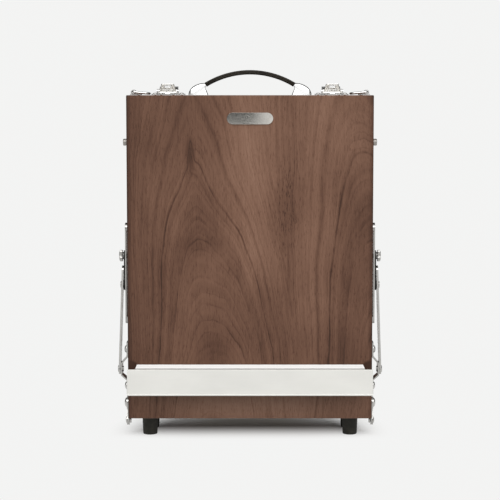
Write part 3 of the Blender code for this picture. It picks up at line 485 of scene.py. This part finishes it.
def leather(name):
    """Near-black leather with a grain of small cells, lighter where it is worn."""
    finish = Finish(name)
    inputs = {"Vector": finish.place(), "Scale": 0.95}
    cells = finish.add("ShaderNodeTexVoronoi", inputs, feature="DISTANCE_TO_EDGE")
    creases = finish.ranged(cells.outputs["Distance"], 0.0, 0.16)
    worn = finish.noise(finish.place(), 0.07, 3, 0.6)
    tone = finish.math("MULTIPLY_ADD", creases, 0.25, finish.math("MULTIPLY", worn, 0.9))
    stops = (
        (0.2, (0.006, 0.005, 0.0035)),
        (0.55, (0.012, 0.010, 0.0075)),
        (0.9, (0.026, 0.022, 0.016)),
    )
    finish.set("Base Color", finish.ramp(tone, stops))
    finish.set("Roughness", finish.ranged(worn, 0.3, 0.7, 0.46, 0.60))
    finish.set("Specular IOR Level", 0.16)
    height = finish.math("MULTIPLY_ADD", creases, 0.7, finish.math("MULTIPLY", worn, 0.6))
    finish.bump(height, 0.10)
    return finish.material


def thread(name):
    """Dark sewing thread with twisted strands."""
    finish = Finish(name, roughness=0.7)
    strands = finish.noise(finish.place((3, 3, 3)), 1.0, 2, 0.6)
    stops = ((0.3, (0.020, 0.018, 0.015)), (0.7, (0.055, 0.048, 0.040)))
    finish.set("Base Color", finish.ramp(strands, stops))
    finish.bump(strands, 0.05)
    return finish.material


FRONT_WALNUT = figured_walnut("walnut_front")
LIGHT_WOOD = straight_walnut("birch", "Z", 2, BIRCH_TONES)
NICKEL = metal("nickel", (0.86, 0.85, 0.83), 0.27, depth=0.0, spots=0.04)
CHROME = metal("chrome", (0.97, 0.97, 0.96), 0.26, depth=0.0, spots=0.02)
STEEL = metal("stay_steel", (0.47, 0.46, 0.44), 0.20, brushed="Z", depth=0.008)
BLACKENED = metal("blackened_steel", (0.035, 0.034, 0.032), 0.42)
SCREWS = metal("screw_steel", (0.58, 0.57, 0.55), 0.32)
STUDS = metal("stud_steel", (0.36, 0.34, 0.315), 0.50, depth=0.008)
BADGE = metal("badge_steel", (0.69, 0.665, 0.62), 0.13, brushed="X", depth=0.008)
BRASS = metal("brass", (0.78, 0.60, 0.30), 0.28)
LEDGE = white_sheet("ledge_white")
RUBBER = rubber("foot_rubber")
LEATHER = leather("strap_leather")
THREAD = thread("strap_thread")


# ---------------------------------------------------------------- mesh building


def middle_of(node):
    """Middle of a CAD node's box, in millimetres."""
    low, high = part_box(node)
    return (low + high) / 2 / MM


def circle(radius, steps, centre=(0, 0)):
    turns = [2 * math.pi * i / steps for i in range(steps)]
    return [(centre[0] + radius * math.cos(t), centre[1] + radius * math.sin(t)) for t in turns]


def rounded(corners, steps=8):
    """Outline through (x, y, radius) corners, each rounded to its radius."""
    outline = []
    for i, (x, y, radius) in enumerate(corners):
        here = Vector((x, y))
        before = (Vector(corners[i - 1][:2]) - here).normalized()
        after = (Vector(corners[(i + 1) % len(corners)][:2]) - here).normalized()
        half = before.angle(after) / 2
        middle = here + (before + after).normalized() * radius / math.sin(half)
        start = here + before * radius / math.tan(half) - middle
        end = here + after * radius / math.tan(half) - middle
        sweep = math.pi - 2 * half
        for k in range(steps + 1):
            part = k / steps
            spoke = start * math.sin((1 - part) * sweep) + end * math.sin(part * sweep)
            outline.append(tuple(middle + spoke / math.sin(sweep)))
    return outline


def lofted(rings, closed=False):
    """Skin over rings of points; open ends are capped."""
    shape = bmesh.new()
    made = [[shape.verts.new(point) for point in ring] for ring in rings]
    pairs = list(zip(made, made[1:])) + ([(made[-1], made[0])] if closed else [])
    for one, two in pairs:
        for i in range(len(one)):
            k = (i + 1) % len(one)
            shape.faces.new((one[i], one[k], two[k], two[i]))
    if not closed:
        for ring in (made[0], made[-1]):
            shape.faces.new(ring)
    bmesh.ops.recalc_face_normals(shape, faces=shape.faces)
    return shape


def turned(profile, centre=(0, 0, 0), axis=(0, 0, 1), steps=40, teeth=0):
    """Solid of revolution of (radius, height) or (radius, height, knurl depth) points."""
    rings = []
    for radius, height, *depth in profile:
        ring = []
        for i in range(steps):
            dip = depth[0] * abs((i * teeth / steps) % 1 - 0.5) * 2 if depth else 0
            turn = 2 * math.pi * i / steps
            ring.append(((radius - dip) * math.cos(turn), (radius - dip) * math.sin(turn), height))
        rings.append(ring)
    shape = lofted(rings)
    turn = Vector((0, 0, 1)).rotation_difference(Vector(axis)).to_matrix()
    for vert in shape.verts:
        vert.co = turn @ vert.co + Vector(centre)
    return shape


def handed(shape, side):
    """The solid itself on the right, or its mirror image on the left."""
    if side < 0:
        for vert in shape.verts:
            vert.co.x = -vert.co.x
        bmesh.ops.reverse_faces(shape, faces=shape.faces)
    return shape


def solid_mesh(name, shape, finish, angle, scale=MM):
    """Mesh of a solid, smooth except where its faces meet at more than the angle."""
    bmesh.ops.scale(shape, vec=(scale,) * 3, verts=shape.verts)
    mesh = bpy.data.meshes.new(name)
    shape.to_mesh(mesh)
    shape.free()
    mesh.materials.append(finish)
    mesh.shade_smooth()
    mesh.set_sharp_from_angle(angle=math.radians(angle))
    return mesh


def added(name, data):
    """A new object in the scene."""
    made = bpy.data.objects.new(name, data)
    bpy.context.collection.objects.link(made)
    return made


def piece(name, shape, finish, body, replaced=(), angle=40, scale=MM):
    """One visible piece from a solid in millimetres, riding on its body."""
    made = added(name, solid_mesh(name, shape, finish, angle, scale))
    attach(made, body)
    if replaced:
        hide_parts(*replaced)
    return made


FLAT_DEGREES = 0.5
ROUNDED_FROM_DEGREES = 30


def refined(node, finish, width=0.25, segments=2):
    """A copy of a CAD node, which is in metres, with its faces joined and its edges rounded."""
    source = frame["nodes"][node]
    shape = bmesh.new()
    shape.from_mesh(source.data)
    bmesh.ops.remove_doubles(shape, verts=shape.verts, dist=0.001 * MM)
    flat = math.radians(FLAT_DEGREES)
    bmesh.ops.dissolve_limit(shape, angle_limit=flat, verts=shape.verts, edges=shape.edges)
    made = piece(f"{node}_finished", shape, finish, source["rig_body"], (node,), 180, 1.0)
    bevel = made.modifiers.new("Rounded edges", "BEVEL")
    bevel.limit_method = "ANGLE"
    bevel.angle_limit = math.radians(ROUNDED_FROM_DEGREES)
    bevel.width = width * MM
    bevel.segments = segments
    weighted = made.modifiers.new("Even shading", "WEIGHTED_NORMAL")
    weighted.weight = 90


# ---------------------------------------------------------------- wooden boards

# Which way the grain runs in each plain walnut board
BOARD_GRAIN = {
    "lid_left_side": "Z",
    "lid_right_side": "Z",
    "lid_top_side": "X",
    "lid_bottom_side": "X",
    "tray_left_side": "Z",
    "tray_right_side": "Z",
    "tray_top_side": "X",
    "tray_bottom_side": "X",
    "tray_back_panel": "Z",
    "palette_ledger": "X",
    "turn_button_block": "X",
}

refined("lid_front_panel", FRONT_WALNUT)
for seed, (node, along) in enumerate(BOARD_GRAIN.items()):
    refined(node, straight_walnut(f"walnut_{node}", along, seed))
for node in ("tray_long_divider", "tray_lower_divider", "tray_upper_divider", "palette"):
    refined(node, LIGHT_WOOD)

# ---------------------------------------------------------------- sheet-metal fittings

refined("canvas_ledge", LEDGE, 0.3, 3)
refined("turn_button", BRASS, 0.3)

# Line where the shelf meets its lip: (distance behind the lip's front, height over the shelf)
SHELF_EDGE = ((2.9, -0.3), (2.9, 0.9), (3.2, 1.2), (4.4, 0.2), (4.4, -0.3))
SHELF_EDGE_HALF = 143.2
section = [(FRONT - LEDGE_REACH + back, BOTTOM + LEDGE_RISE + up) for back, up in SHELF_EDGE]
strip = lofted([[(x, y, z) for y, z in section] for x in (-SHELF_EDGE_HALF, SHELF_EDGE_HALF)])
piece("shelf_front_edge", strip, STEEL, "lid")

NICKEL_FITTINGS = ("latch_base", "latch_lever", "latch_loop", "latch_catch", "ring_lug")
# Widths of the rounded edges of the bent steel fittings
STEEL_FITTINGS = {
    "hinge_lid_leaf": 0.5,
    "hinge_tray_leaf": 0.5,
    "stay_rail": 0.6,
    "stay_bracket": 0.6,
}
for _, word in SIDES:
    for kind in NICKEL_FITTINGS:
        refined(f"{kind}_{word}", NICKEL, 0.2)
    for kind, width in STEEL_FITTINGS.items():
        refined(f"{kind}_{word}", STEEL, width, 3)
    refined(f"stay_strut_{word}", STEEL, 0.3, 2)
    refined(f"stay_slider_{word}", BLACKENED, 0.25)

# ---------------------------------------------------------------- round fittings

# Thumb nut: (radius, distance from the case's side) and the depth of the knurl
NUT = [
    (2.7, 7.1),
    (4.5, 7.1),
    (4.6, 7.3),
    (4.6, 8.1),
    (5.0, 8.3),
    (6.6, 8.3),
    (7.1, 8.6, 0.2),
    (7.35, 8.9, 0.5),
    (7.35, 11.7, 0.5),
    (7.1, 12.05, 0.2),
    (6.6, 12.25),
    (6.1, 12.3),
    (5.9, 12.65),
    (5.5, 12.8),
    (3.4, 12.72),
    (3.2, 12.55),
    (0.4, 12.5),
    (0.01, 12.5),
]
NUT_STEPS, NUT_TEETH = 144, 36
# (radius, distance from the case's side)
RIVET = [
    (3.4, 10.62),
    (4.42, 10.62),
    (4.5, 10.9),
    (4.4, 11.3),
    (3.9, 11.65),
    (2.6, 11.85),
    (0.01, 11.95),
]
# Places on the stay: distance behind the parting plane, heights above the case's bottom
STUD_BACK = 11.5
STUD_RISE = 204.6
SLIDER_RISE = 167.0
for side, word in SIDES:
    centre = (HALF, PARTING + STUD_BACK, BOTTOM + STUD_RISE)
    shape = handed(turned(NUT, centre, (1, 0, 0), NUT_STEPS, NUT_TEETH), side)
    knob = (f"stay_knob_{word}",)
    piece(f"thumb_nut_{word}", shape, STEEL, f"nut_{word}", knob, 35)
    centre = (HALF, PARTING + STUD_BACK, BOTTOM + SLIDER_RISE)
    shape = handed(turned(RIVET, centre, (1, 0, 0)), side)
    piece(f"strut_rivet_{word}", shape, STEEL, f"slider_{word}")

# (radius, distance from the case's side)
SIDE_STUD = [
    (4.0, 0.3),
    (4.3, 0.5),
    (4.35, 4.1),
    (4.1, 4.7),
    (3.6, 5.0),
    (1.5, 5.1),
    (0.01, 5.1),
]
for side, word in SIDES:
    _, y, z = middle_of(f"side_stud_{word}")
    centre = (HALF, y, z)
    shape = handed(turned(SIDE_STUD, centre, (1, 0, 0)), side)
    piece(f"elastic_stud_{word}", shape, STUDS, "lid", (f"side_stud_{word}",))

# Hollow foot, round its section: (radius, height)
FOOT = [
    (3.8, 0.3),
    (4.1, 0.0),
    (8.0, 0.0),
    (8.8, 0.25),
    (9.2, 0.9),
    (9.32, 1.7),
    (10.2, 23.9),
    (10.38, 24.2),
    (10.44, 26.4),
    (10.2, 27.1),
    (9.8, 27.3),
    (3.8, 27.3),
]
for end in ("front", "rear"):
    for _, word in SIDES:
        node = f"foot_{end}_{word}"
        centre = middle_of(node)
        rings = [[(x, y, h) for x, y in circle(radius, 56, centre)] for radius, h in FOOT]
        shape = lofted(rings, closed=True)
        piece(f"rubber_{node}", shape, RUBBER, "tray", (node,))

# ---------------------------------------------------------------- carrying rings

RING_HINGE = 150.0
RING_RISE = 4.1
RING_REACH = 20.5
RING_FALL = math.asin(2.0 / RING_REACH)
RING_WIRE = 1.5
RING_CORNERS = [
    (0, -12.5, 3.5),
    (0, 12.5, 3.5),
    (RING_REACH, 10.0, 7),
    (RING_REACH, -10.0, 7),
]
for side, word in SIDES:
    middle_y = middle_of(f"ring_lug_{word}").y
    path = []
    for u, v in rounded(RING_CORNERS, 9):
        x = RING_HINGE - u * math.cos(RING_FALL)
        path.append(Vector((x, middle_y + v, TOP + RING_RISE - u * math.sin(RING_FALL))))
    flat = Vector((-math.sin(RING_FALL), 0, math.cos(RING_FALL)))
    rings = []
    for i, point in enumerate(path):
        heading = (path[(i + 1) % len(path)] - path[i - 1]).normalized()
        across = flat.cross(heading)
        rings.append([point + across * a + flat * b for a, b in circle(RING_WIRE, 16)])
    shape = handed(lofted(rings, closed=True), side)
    ring = (f"carry_ring_{word}",)
    piece(f"wire_ring_{word}", shape, NICKEL, f"ring_{word}", ring)

# ---------------------------------------------------------------- handle

HANDLE_Y = middle_of("handle_strap").y
HALF_SPAN = 57.0
CREST = 29.2
END_RISE = 13.2
STRAP_WIDTH = 20.0
STRAP_END_WIDTH = 10.0
STRAP_TAPER = 16.0


def strap_frames(steps):
    """(point, upward normal, half width) along the strap's middle line."""
    rise = CREST - END_RISE
    radius = (HALF_SPAN**2 + rise**2) / (2 * rise)
    limit = math.asin(HALF_SPAN / radius)
    for i in range(steps + 1):
        turn = limit * (2 * i / steps - 1)
        x = radius * math.sin(turn)
        point = Vector((x, HANDLE_Y, TOP + CREST - radius * (1 - math.cos(turn))))
        from_end = min(1.0, (HALF_SPAN - abs(x)) / STRAP_TAPER)
        gain = (STRAP_WIDTH - STRAP_END_WIDTH) * from_end * (2 - from_end)
        wide = (STRAP_END_WIDTH + gain) / 2
        yield point, Vector((math.sin(turn), 0, math.cos(turn))), wide


# Right half of the strap's section: (distance, height, 1 or 0). The distance is a share of
# the half width where the third number is 1, and millimetres beyond its edge where it is 0
STRAP_HALF_SECTION = [
    (0.0, 2.75, 1),
    (0.45, 2.62, 1),
    (-2.9, 2.35, 0),
    (-2.4, 2.12, 0),
    (-1.8, 2.12, 0),
    (-1.3, 2.28, 0),
    (-0.5, 2.0, 0),
    (-0.05, 1.2, 0),
    (0.0, 0.35, 0),
    (-0.3, 0.05, 0),
    (0.0, -0.25, 0),
    (-0.05, -1.2, 0),
    (-0.5, -2.0, 0),
    (-1.4, -2.4, 0),
    (0.5, -2.5, 1),
]
STRAP_THICKER = 1.08


def strap_section(point, up, wide):
    """Outline across the strap: crowned top, stitch grooves, a seam between its two layers."""
    right = []
    for distance, height, is_share in STRAP_HALF_SECTION:
        right.append((wide * distance if is_share else wide + distance, height))
    outline = right + [(-a, b) for a, b in reversed(right[1:])]
    return [point + Vector((0, a, 0)) + up * b * STRAP_THICKER for a, b in outline]


strap = lofted([strap_section(*place) for place in strap_frames(56)])
piece("leather_strap", strap, LEATHER, "handle", ("handle_strap",), 50)

STITCH_HALF_SIZES = (0.95, 0.32, 0.26)
STITCH_INSET = 2.1
STITCH_HEIGHT = 2.38
STITCHED_HALF_WIDTH = 6.5
stitches = bmesh.new()
for point, up, wide in strap_frames(46):
    if wide < STITCHED_HALF_WIDTH:
        continue
    along, across = Vector((0, 1, 0)).cross(up), Vector((0, 1, 0))
    axes = [axis * half for axis, half in zip((along, across, up), STITCH_HALF_SIZES)]
    grow = Matrix(axes).transposed().to_4x4()
    for side, _ in SIDES:
        seat = point + across * side * (wide - STITCH_INSET) + up * STITCH_HEIGHT
        spot = Matrix.Translation(seat) @ grow
        bmesh.ops.create_icosphere(stitches, subdivisions=2, radius=1.0, matrix=spot)
piece("strap_stitches", stitches, THREAD, "handle", angle=180)

CAP_FACE = 57.3
CAP_OUTER = 79.0
CAP_FOOT = 0.3
CAP_RISE = 15.3
CAP_HALF_DEPTH = 11.0
CAP_SHOULDER = 5.0
CAP_SHOULDER_DROP = 0.8
CAP_LEAN = 0.3
# The caps' face towards the strap: (distance outwards, height)
CAP_FACE_LINE = [
    (-3.5, 0.0),
    (-1.6, 4.6),
    (-0.1, 8.0),
    (0.0, CAP_RISE - 1.2),
    (0.25, CAP_RISE - 0.5),
    (0.8, CAP_RISE),
]


def cap_outline():
    """Side view of the right cap: its face, then a quarter of an ellipse down to the case."""
    reach = CAP_OUTER - CAP_FACE - 1
    turns = [math.radians(degrees) for degrees in range(6, 91, 6)]
    back = [(1 + reach * math.sin(turn), CAP_RISE * math.cos(turn)) for turn in turns]
    return CAP_FACE_LINE + back


def cap_ring(y):
    """The outline at a distance from the cap's middle, smaller on its rounded shoulders."""
    over = max(0.0, abs(y) - (CAP_HALF_DEPTH - CAP_SHOULDER))
    drop = CAP_SHOULDER - math.sqrt(CAP_SHOULDER**2 - over**2)
    size = 1 - drop / CAP_RISE * CAP_SHOULDER_DROP
    ring = []
    for a, b in cap_outline():
        lean = 1 - CAP_LEAN * (b / CAP_RISE) ** 2
        ring.append((CAP_FACE + a * size, HANDLE_Y + y * lean, TOP + CAP_FOOT + b * size))
    return ring


for side, word in SIDES:
    shape = lofted([cap_ring(-CAP_HALF_DEPTH * math.cos(math.pi * k / 24)) for k in range(25)])
    cap = (f"handle_cap_{word}",)
    piece(f"chrome_cap_{word}", handed(shape, side), CHROME, "tray", cap, 50)

# ---------------------------------------------------------------- badge

# Edge of the badge: (inset from its outline, thickness); the inset shrinks near its ends,
# where it is narrower. Its middle bulges by the crown
BADGE_RIM = ((0.0, 0.3), (0.0, 0.68), (0.14, 0.79), (1.1, 0.795), (3.6, 0.80))
BADGE_NARROW = 4.5
BADGE_CROWN = 1.0
low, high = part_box("badge")
BADGE_HALF = (high.x - low.x) / 2 / MM
BADGE_RADIUS = (high.z - low.z) / 2 / MM
BADGE_Z = (high.z + low.z) / 2 / MM


def badge_ring(x):
    """Section of the pill-shaped plate at a distance from its middle."""
    past_straight = max(0.0, abs(x) - BADGE_HALF + BADGE_RADIUS)
    tall = math.sqrt(BADGE_RADIUS**2 - past_straight**2)
    crown = BADGE_CROWN * (1 - (x / BADGE_HALF) ** 2)
    upper = []
    for inset, thick in BADGE_RIM:
        bulge = crown if thick > BADGE_RIM[0][1] else 0
        upper.append((x, FRONT - thick - bulge, tall - inset * min(1, tall / BADGE_NARROW)))
    section = upper + [(x, y, -height) for x, y, height in reversed(upper)]
    return [(x, y, BADGE_Z + height) for x, y, height in section]


plate = lofted([badge_ring(-BADGE_HALF * math.cos(math.pi * k / 60)) for k in range(1, 60)])
piece("blank_badge", plate, BADGE, "lid", ("badge",), 16)

# ---------------------------------------------------------------- screws


def cut_by(shape, tools):
    """The shape less each tool, through a Boolean modifier."""
    holders = []
    for solid in (shape, *tools):
        mesh = bpy.data.meshes.new("solid")
        solid.to_mesh(mesh)
        solid.free()
        holders.append(added("solid", mesh))
    for tool in holders[1:]:
        modifier = holders[0].modifiers.new("Cut", "BOOLEAN")
        modifier.operation = "DIFFERENCE"
        modifier.solver = "EXACT"
        modifier.object = tool
    result = bmesh.new()
    result.from_object(holders[0], bpy.context.evaluated_depsgraph_get())
    for holder in holders:
        mesh = holder.data
        bpy.data.objects.remove(holder)
        bpy.data.meshes.remove(mesh)
    return result


# Screws with their heads up: (radius, height)
PAN_HEAD = [
    (1.5, -5.0),
    (1.5, -0.05),
    (2.95, -0.05),
    (3.0, 0.15),
    (2.9, 0.45),
    (2.6, 0.8),
    (2.1, 1.08),
    (1.4, 1.27),
    (0.7, 1.34),
    (0.01, 1.35),
]
DOME_HEAD = [
    (1.5, -5.0),
    (1.5, -0.05),
    (4.1, -0.05),
    (4.35, 0.25),
    (4.35, 0.9),
    (4.1, 1.7),
    (3.6, 2.5),
    (2.8, 3.2),
    (1.8, 3.65),
    (0.8, 3.85),
    (0.01, 3.9),
]


SLOT_HALF_WIDTH = 0.36
SLOT_DEPTH = 1.1
SLOT_TIP = 0.45
SLOT_TIP_HALF_WIDTHS = (0.252, 0.25)


def slot_blade(top, tip, crown):
    """Tapered blade that leaves one slot of a cross recess; top and tip are half sizes."""
    sizes = ((*top, crown + 0.25), (*tip, crown - SLOT_DEPTH))
    return lofted([[(-a, -b, h), (a, -b, h), (a, b, h), (-a, b, h)] for a, b, h in sizes])


def screw_mesh(name, profile, reach):
    """Cross-head screw with its recess reaching this far out from the middle."""
    crown, tip = profile[-1][1], reach * SLOT_TIP
    blades = [
        slot_blade((reach, SLOT_HALF_WIDTH), (tip, SLOT_TIP_HALF_WIDTHS[0]), crown),
        slot_blade((SLOT_HALF_WIDTH, reach), (SLOT_TIP_HALF_WIDTHS[1], tip), crown),
    ]
    return solid_mesh(name, cut_by(turned(profile, steps=36), blades), SCREWS, 35)


PAN_SCREW = screw_mesh("pan_screw", PAN_HEAD, 1.9)
DOME_SCREW = screw_mesh("dome_screw", DOME_HEAD, 2.1)


def slot_turns():
    """The turn of each screw's cross in degrees, so that neighbours don't stand alike."""
    turn = 10.0
    while True:
        turn = (turn + 37) % 90
        yield turn


TURNS = slot_turns()


def screw(name, place, axis, body, size=1.0, tall=1.0, mesh=PAN_SCREW, replaced=()):
    """One cross-head screw, seated at place, with its head towards axis."""
    made = added(name, mesh)
    aim = Vector((0, 0, 1)).rotation_difference(Vector(axis)).to_matrix().to_4x4()
    spin = Matrix.Rotation(math.radians(next(TURNS)), 4, "Z")
    grow = Matrix.Diagonal((size, size, tall, 1))
    made.matrix_world = Matrix.Translation(Vector(place) * MM) @ aim @ spin @ grow
    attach(made, body)
    if replaced:
        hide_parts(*replaced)


# Each kind of screw: its body, how far its head's seat stands off the case, and two places.
# Places on the side are (distance behind the parting plane, height), places on the top
# (distance from the middle, distance behind the parting plane)
LEAF_PLACES = ((17.0, 19.0), (11.5, 11.0))
LATCH_X = 104.3
TOP_SCREWS = {
    "latch": ("tray", 1.8, ((LATCH_X - 17, 21.0), (LATCH_X + 17, 21.0))),
    "lug": ("tray", 1.5, ((143.0, 29.0), (143.0, 41.0))),
    "catch": ("lid", 1.5, ((LATCH_X - 8, -8.6), (LATCH_X + 8, -8.6))),
}
LEDGE_SCREWS = (42.0, 118.0)
for side, word in SIDES:
    rail_low, rail_high = (corner.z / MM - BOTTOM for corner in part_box(f"stay_rail_{word}"))
    side_screws = {
        "rail": ("tray", 3.3, ((STUD_BACK, rail_high - 4.5), (STUD_BACK, rail_low + 4.5))),
        "tray_leaf": ("tray", 3.6, LEAF_PLACES),
        "lid_leaf": ("lid", 1.8, [(-back, rise) for back, rise in LEAF_PLACES]),
        "bracket": ("lid", 2.1, ((-14.0, 87.5), (-14.0, 40.5))),
    }
    for kind, (body, seat, places) in side_screws.items():
        for i, (back, rise) in enumerate(places):
            place = (side * (HALF + seat), PARTING + back, BOTTOM + rise)
            mesh, size, tall = PAN_SCREW, 1.0, 1.0
            if kind == "bracket":
                mesh, size, tall = DOME_SCREW, 1.12, 0.78
            if kind == "lid_leaf" and i == 0:
                mesh, size, tall = DOME_SCREW, 1.42, 0.90
            screw(f"screw_{kind}_{word}_{i + 1}", place, (side, 0, 0), body, size, tall, mesh)
    for kind, (body, seat, places) in TOP_SCREWS.items():
        size = 0.8 if kind == "catch" else 0.95
        for i, (out, back) in enumerate(places):
            place = (side * out, PARTING + back, TOP + seat)
            screw(f"screw_{kind}_{word}_{i + 1}", place, (0, 0, 1), body, size, size)
    for i, out in enumerate(LEDGE_SCREWS):
        place = (side * out, FRONT - 2.3, BOTTOM + 60.6)
        screw(f"screw_ledge_{word}_{i + 1}", place, (0, -1, 0), "lid")

FOOT_SCREW_Z = 13.7
for end in ("front", "rear"):
    for _, word in SIDES:
        node = f"foot_{end}_{word}_screw"
        x, y, _ = middle_of(node)
        place = (x, y, FOOT_SCREW_Z)
        screw(f"screw_foot_{end}_{word}", place, (0, 0, -1), "tray", 1.05, 1.05, replaced=(node,))

# ---------------------------------------------------------------- studio


SURROUND = (0.898, 0.900, 0.893)
# Darker floor colour near the middle: painted shadow under the case
FLOOR_PAINTED_SHADOW = (0.60, 0.575, 0.53)
FLOOR_FAR = (0.92, 0.92, 0.91)
FLOOR_RADIUS = 12.0
# Half sizes of the oval in which the floor is still floor
FLOOR_HALF_X, FLOOR_HALF_Y = 215, 300
# Strength of the sky at the horizon and overhead, of the bank in it, and how much of the
# light the patch takes away
SKY_LOW, SKY_HIGH = 1.15, 1.9
BANK_STRENGTH = 3.5
PATCH_DARKENS = 0.97
KEY_PLACE = Vector((0.35, -2.2, 1.35))
KEY_AIM = Vector((0, 0, 0.25))
KEY_SIZE = 1.5
KEY_POWER = 29.0
CAMERA_LENS = 116.5
CAMERA_DISTANCE = 2.031
CAMERA_RISE = 0.4104
CAMERA_TILT = 84.524


def studio_floor():
    """Pale floor that takes the shadow and melts into the surround away from the object.
    Its colour is painted darker near the middle, a painted shadow under the case.
    """
    floor = Finish("floor", roughness=0.9)
    floor.set("Specular IOR Level", 0.1)
    far = floor.length(floor.place((1 / FLOOR_HALF_X, 1 / FLOOR_HALF_Y, 1)))
    # Painted shadow: the floor's colour darkens towards the middle, under the case
    tone = floor.mix(floor.ranged(far, 0.30, 0.62), FLOOR_PAINTED_SHADOW, FLOOR_FAR)
    floor.set("Base Color", tone)
    glow = floor.add("ShaderNodeEmission", {"Color": SURROUND, "Strength": 1.0}).outputs[0]
    behind = floor.parts(floor.place(offset=(0, -FRONT, 0)))[1]
    in_front = floor.ranged(behind, -6.0, 96.0, 1.0, 0.0)
    melted = floor.math("MAXIMUM", floor.ranged(far, 0.55, 0.90), in_front)
    inputs = {0: melted, 1: floor.shader.outputs[0], 2: glow}
    blend = floor.add("ShaderNodeMixShader", inputs).outputs[0]
    floor.feed(floor.tree.nodes["Material Output"].inputs[0], blend)
    shape = bmesh.new()
    bmesh.ops.create_circle(shape, cap_ends=True, segments=96, radius=FLOOR_RADIUS)
    mesh = bpy.data.meshes.new("floor")
    shape.to_mesh(mesh)
    shape.free()
    mesh.materials.append(floor.material)
    added("floor", mesh)


def studio_sky():
    """Light from the front and above, with a bright bank and one dark patch for the metals to
    mirror; the camera itself sees the plain surround."""
    world = bpy.data.worlds.new("studio")
    bpy.context.scene.world = world
    world.use_nodes = True
    world.node_tree.nodes.remove(world.node_tree.nodes["Background"])
    sky = Nodes(world.node_tree)
    x, y, z = sky.parts(sky.add("ShaderNodeTexCoord").outputs["Generated"])
    front = sky.ranged(y, -0.45, 0.25, 1.0, 0.0)
    bank = sky.math("MULTIPLY", sky.ranged(z, 0.50, 0.60), sky.ranged(z, 0.76, 0.90, 1.0, 0.0))
    open_sky = sky.ranged(z, 0.45, 0.80, SKY_LOW, SKY_HIGH)
    open_sky = sky.math("MULTIPLY_ADD", bank, BANK_STRENGTH, open_sky)
    side_dark = sky.ranged(sky.math("ABSOLUTE", x), 0.60, 0.92, 1.0, 0.2)
    level = sky.math("MULTIPLY_ADD", sky.math("MULTIPLY", open_sky, side_dark), front, 0.05)
    ahead = sky.ranged(y, -0.95, -0.6, 1.0, 0.0)
    right_end = sky.ranged(x, -0.03, 0.17, 1.0, 0.0)
    beside = sky.math("MULTIPLY", right_end, sky.ranged(x, -0.60, -0.35))
    low_band = sky.ranged(sky.math("ABSOLUTE", z), 0.14, 0.24, 1.0, 0.0)
    patch = sky.math("MULTIPLY", sky.math("MULTIPLY", ahead, beside), low_band)
    level = sky.math("MULTIPLY", level, sky.math("MULTIPLY_ADD", patch, -PATCH_DARKENS, 1.0))
    light = sky.add("ShaderNodeBackground", {"Strength": level}).outputs[0]
    shown = sky.add("ShaderNodeBackground", {"Color": SURROUND, "Strength": 1.0}).outputs[0]
    seen = sky.add("ShaderNodeLightPath").outputs["Is Camera Ray"]
    both = sky.add("ShaderNodeMixShader", {0: seen, 1: light, 2: shown}).outputs[0]
    sky.feed(sky.tree.nodes["World Output"].inputs[0], both)


def key_light():
    """One large soft lamp in front of the object; it doesn't show in reflections."""
    lamp = bpy.data.lights.new("key_light", "AREA")
    lamp.shape = "DISK"
    lamp.size = KEY_SIZE
    lamp.energy = KEY_POWER
    made = added("key_light", lamp)
    made.location = KEY_PLACE
    made.visible_glossy = False
    made.rotation_euler = (KEY_AIM - KEY_PLACE).to_track_quat("-Z", "Y").to_euler()


def front_camera():
    """Camera straight in front, level with the top of the case, looking slightly down."""
    lens = bpy.data.cameras.new("camera")
    lens.lens = CAMERA_LENS
    lens.sensor_width = 36.0
    camera = added("camera", lens)
    camera.location = (0.0, FRONT * MM - CAMERA_DISTANCE, BOTTOM * MM + CAMERA_RISE)
    camera.rotation_euler = (math.radians(CAMERA_TILT), 0, 0)
    bpy.context.scene.camera = camera


studio_floor()
studio_sky()
key_light()
front_camera()
bpy.context.scene.view_settings.view_transform = "Standard"
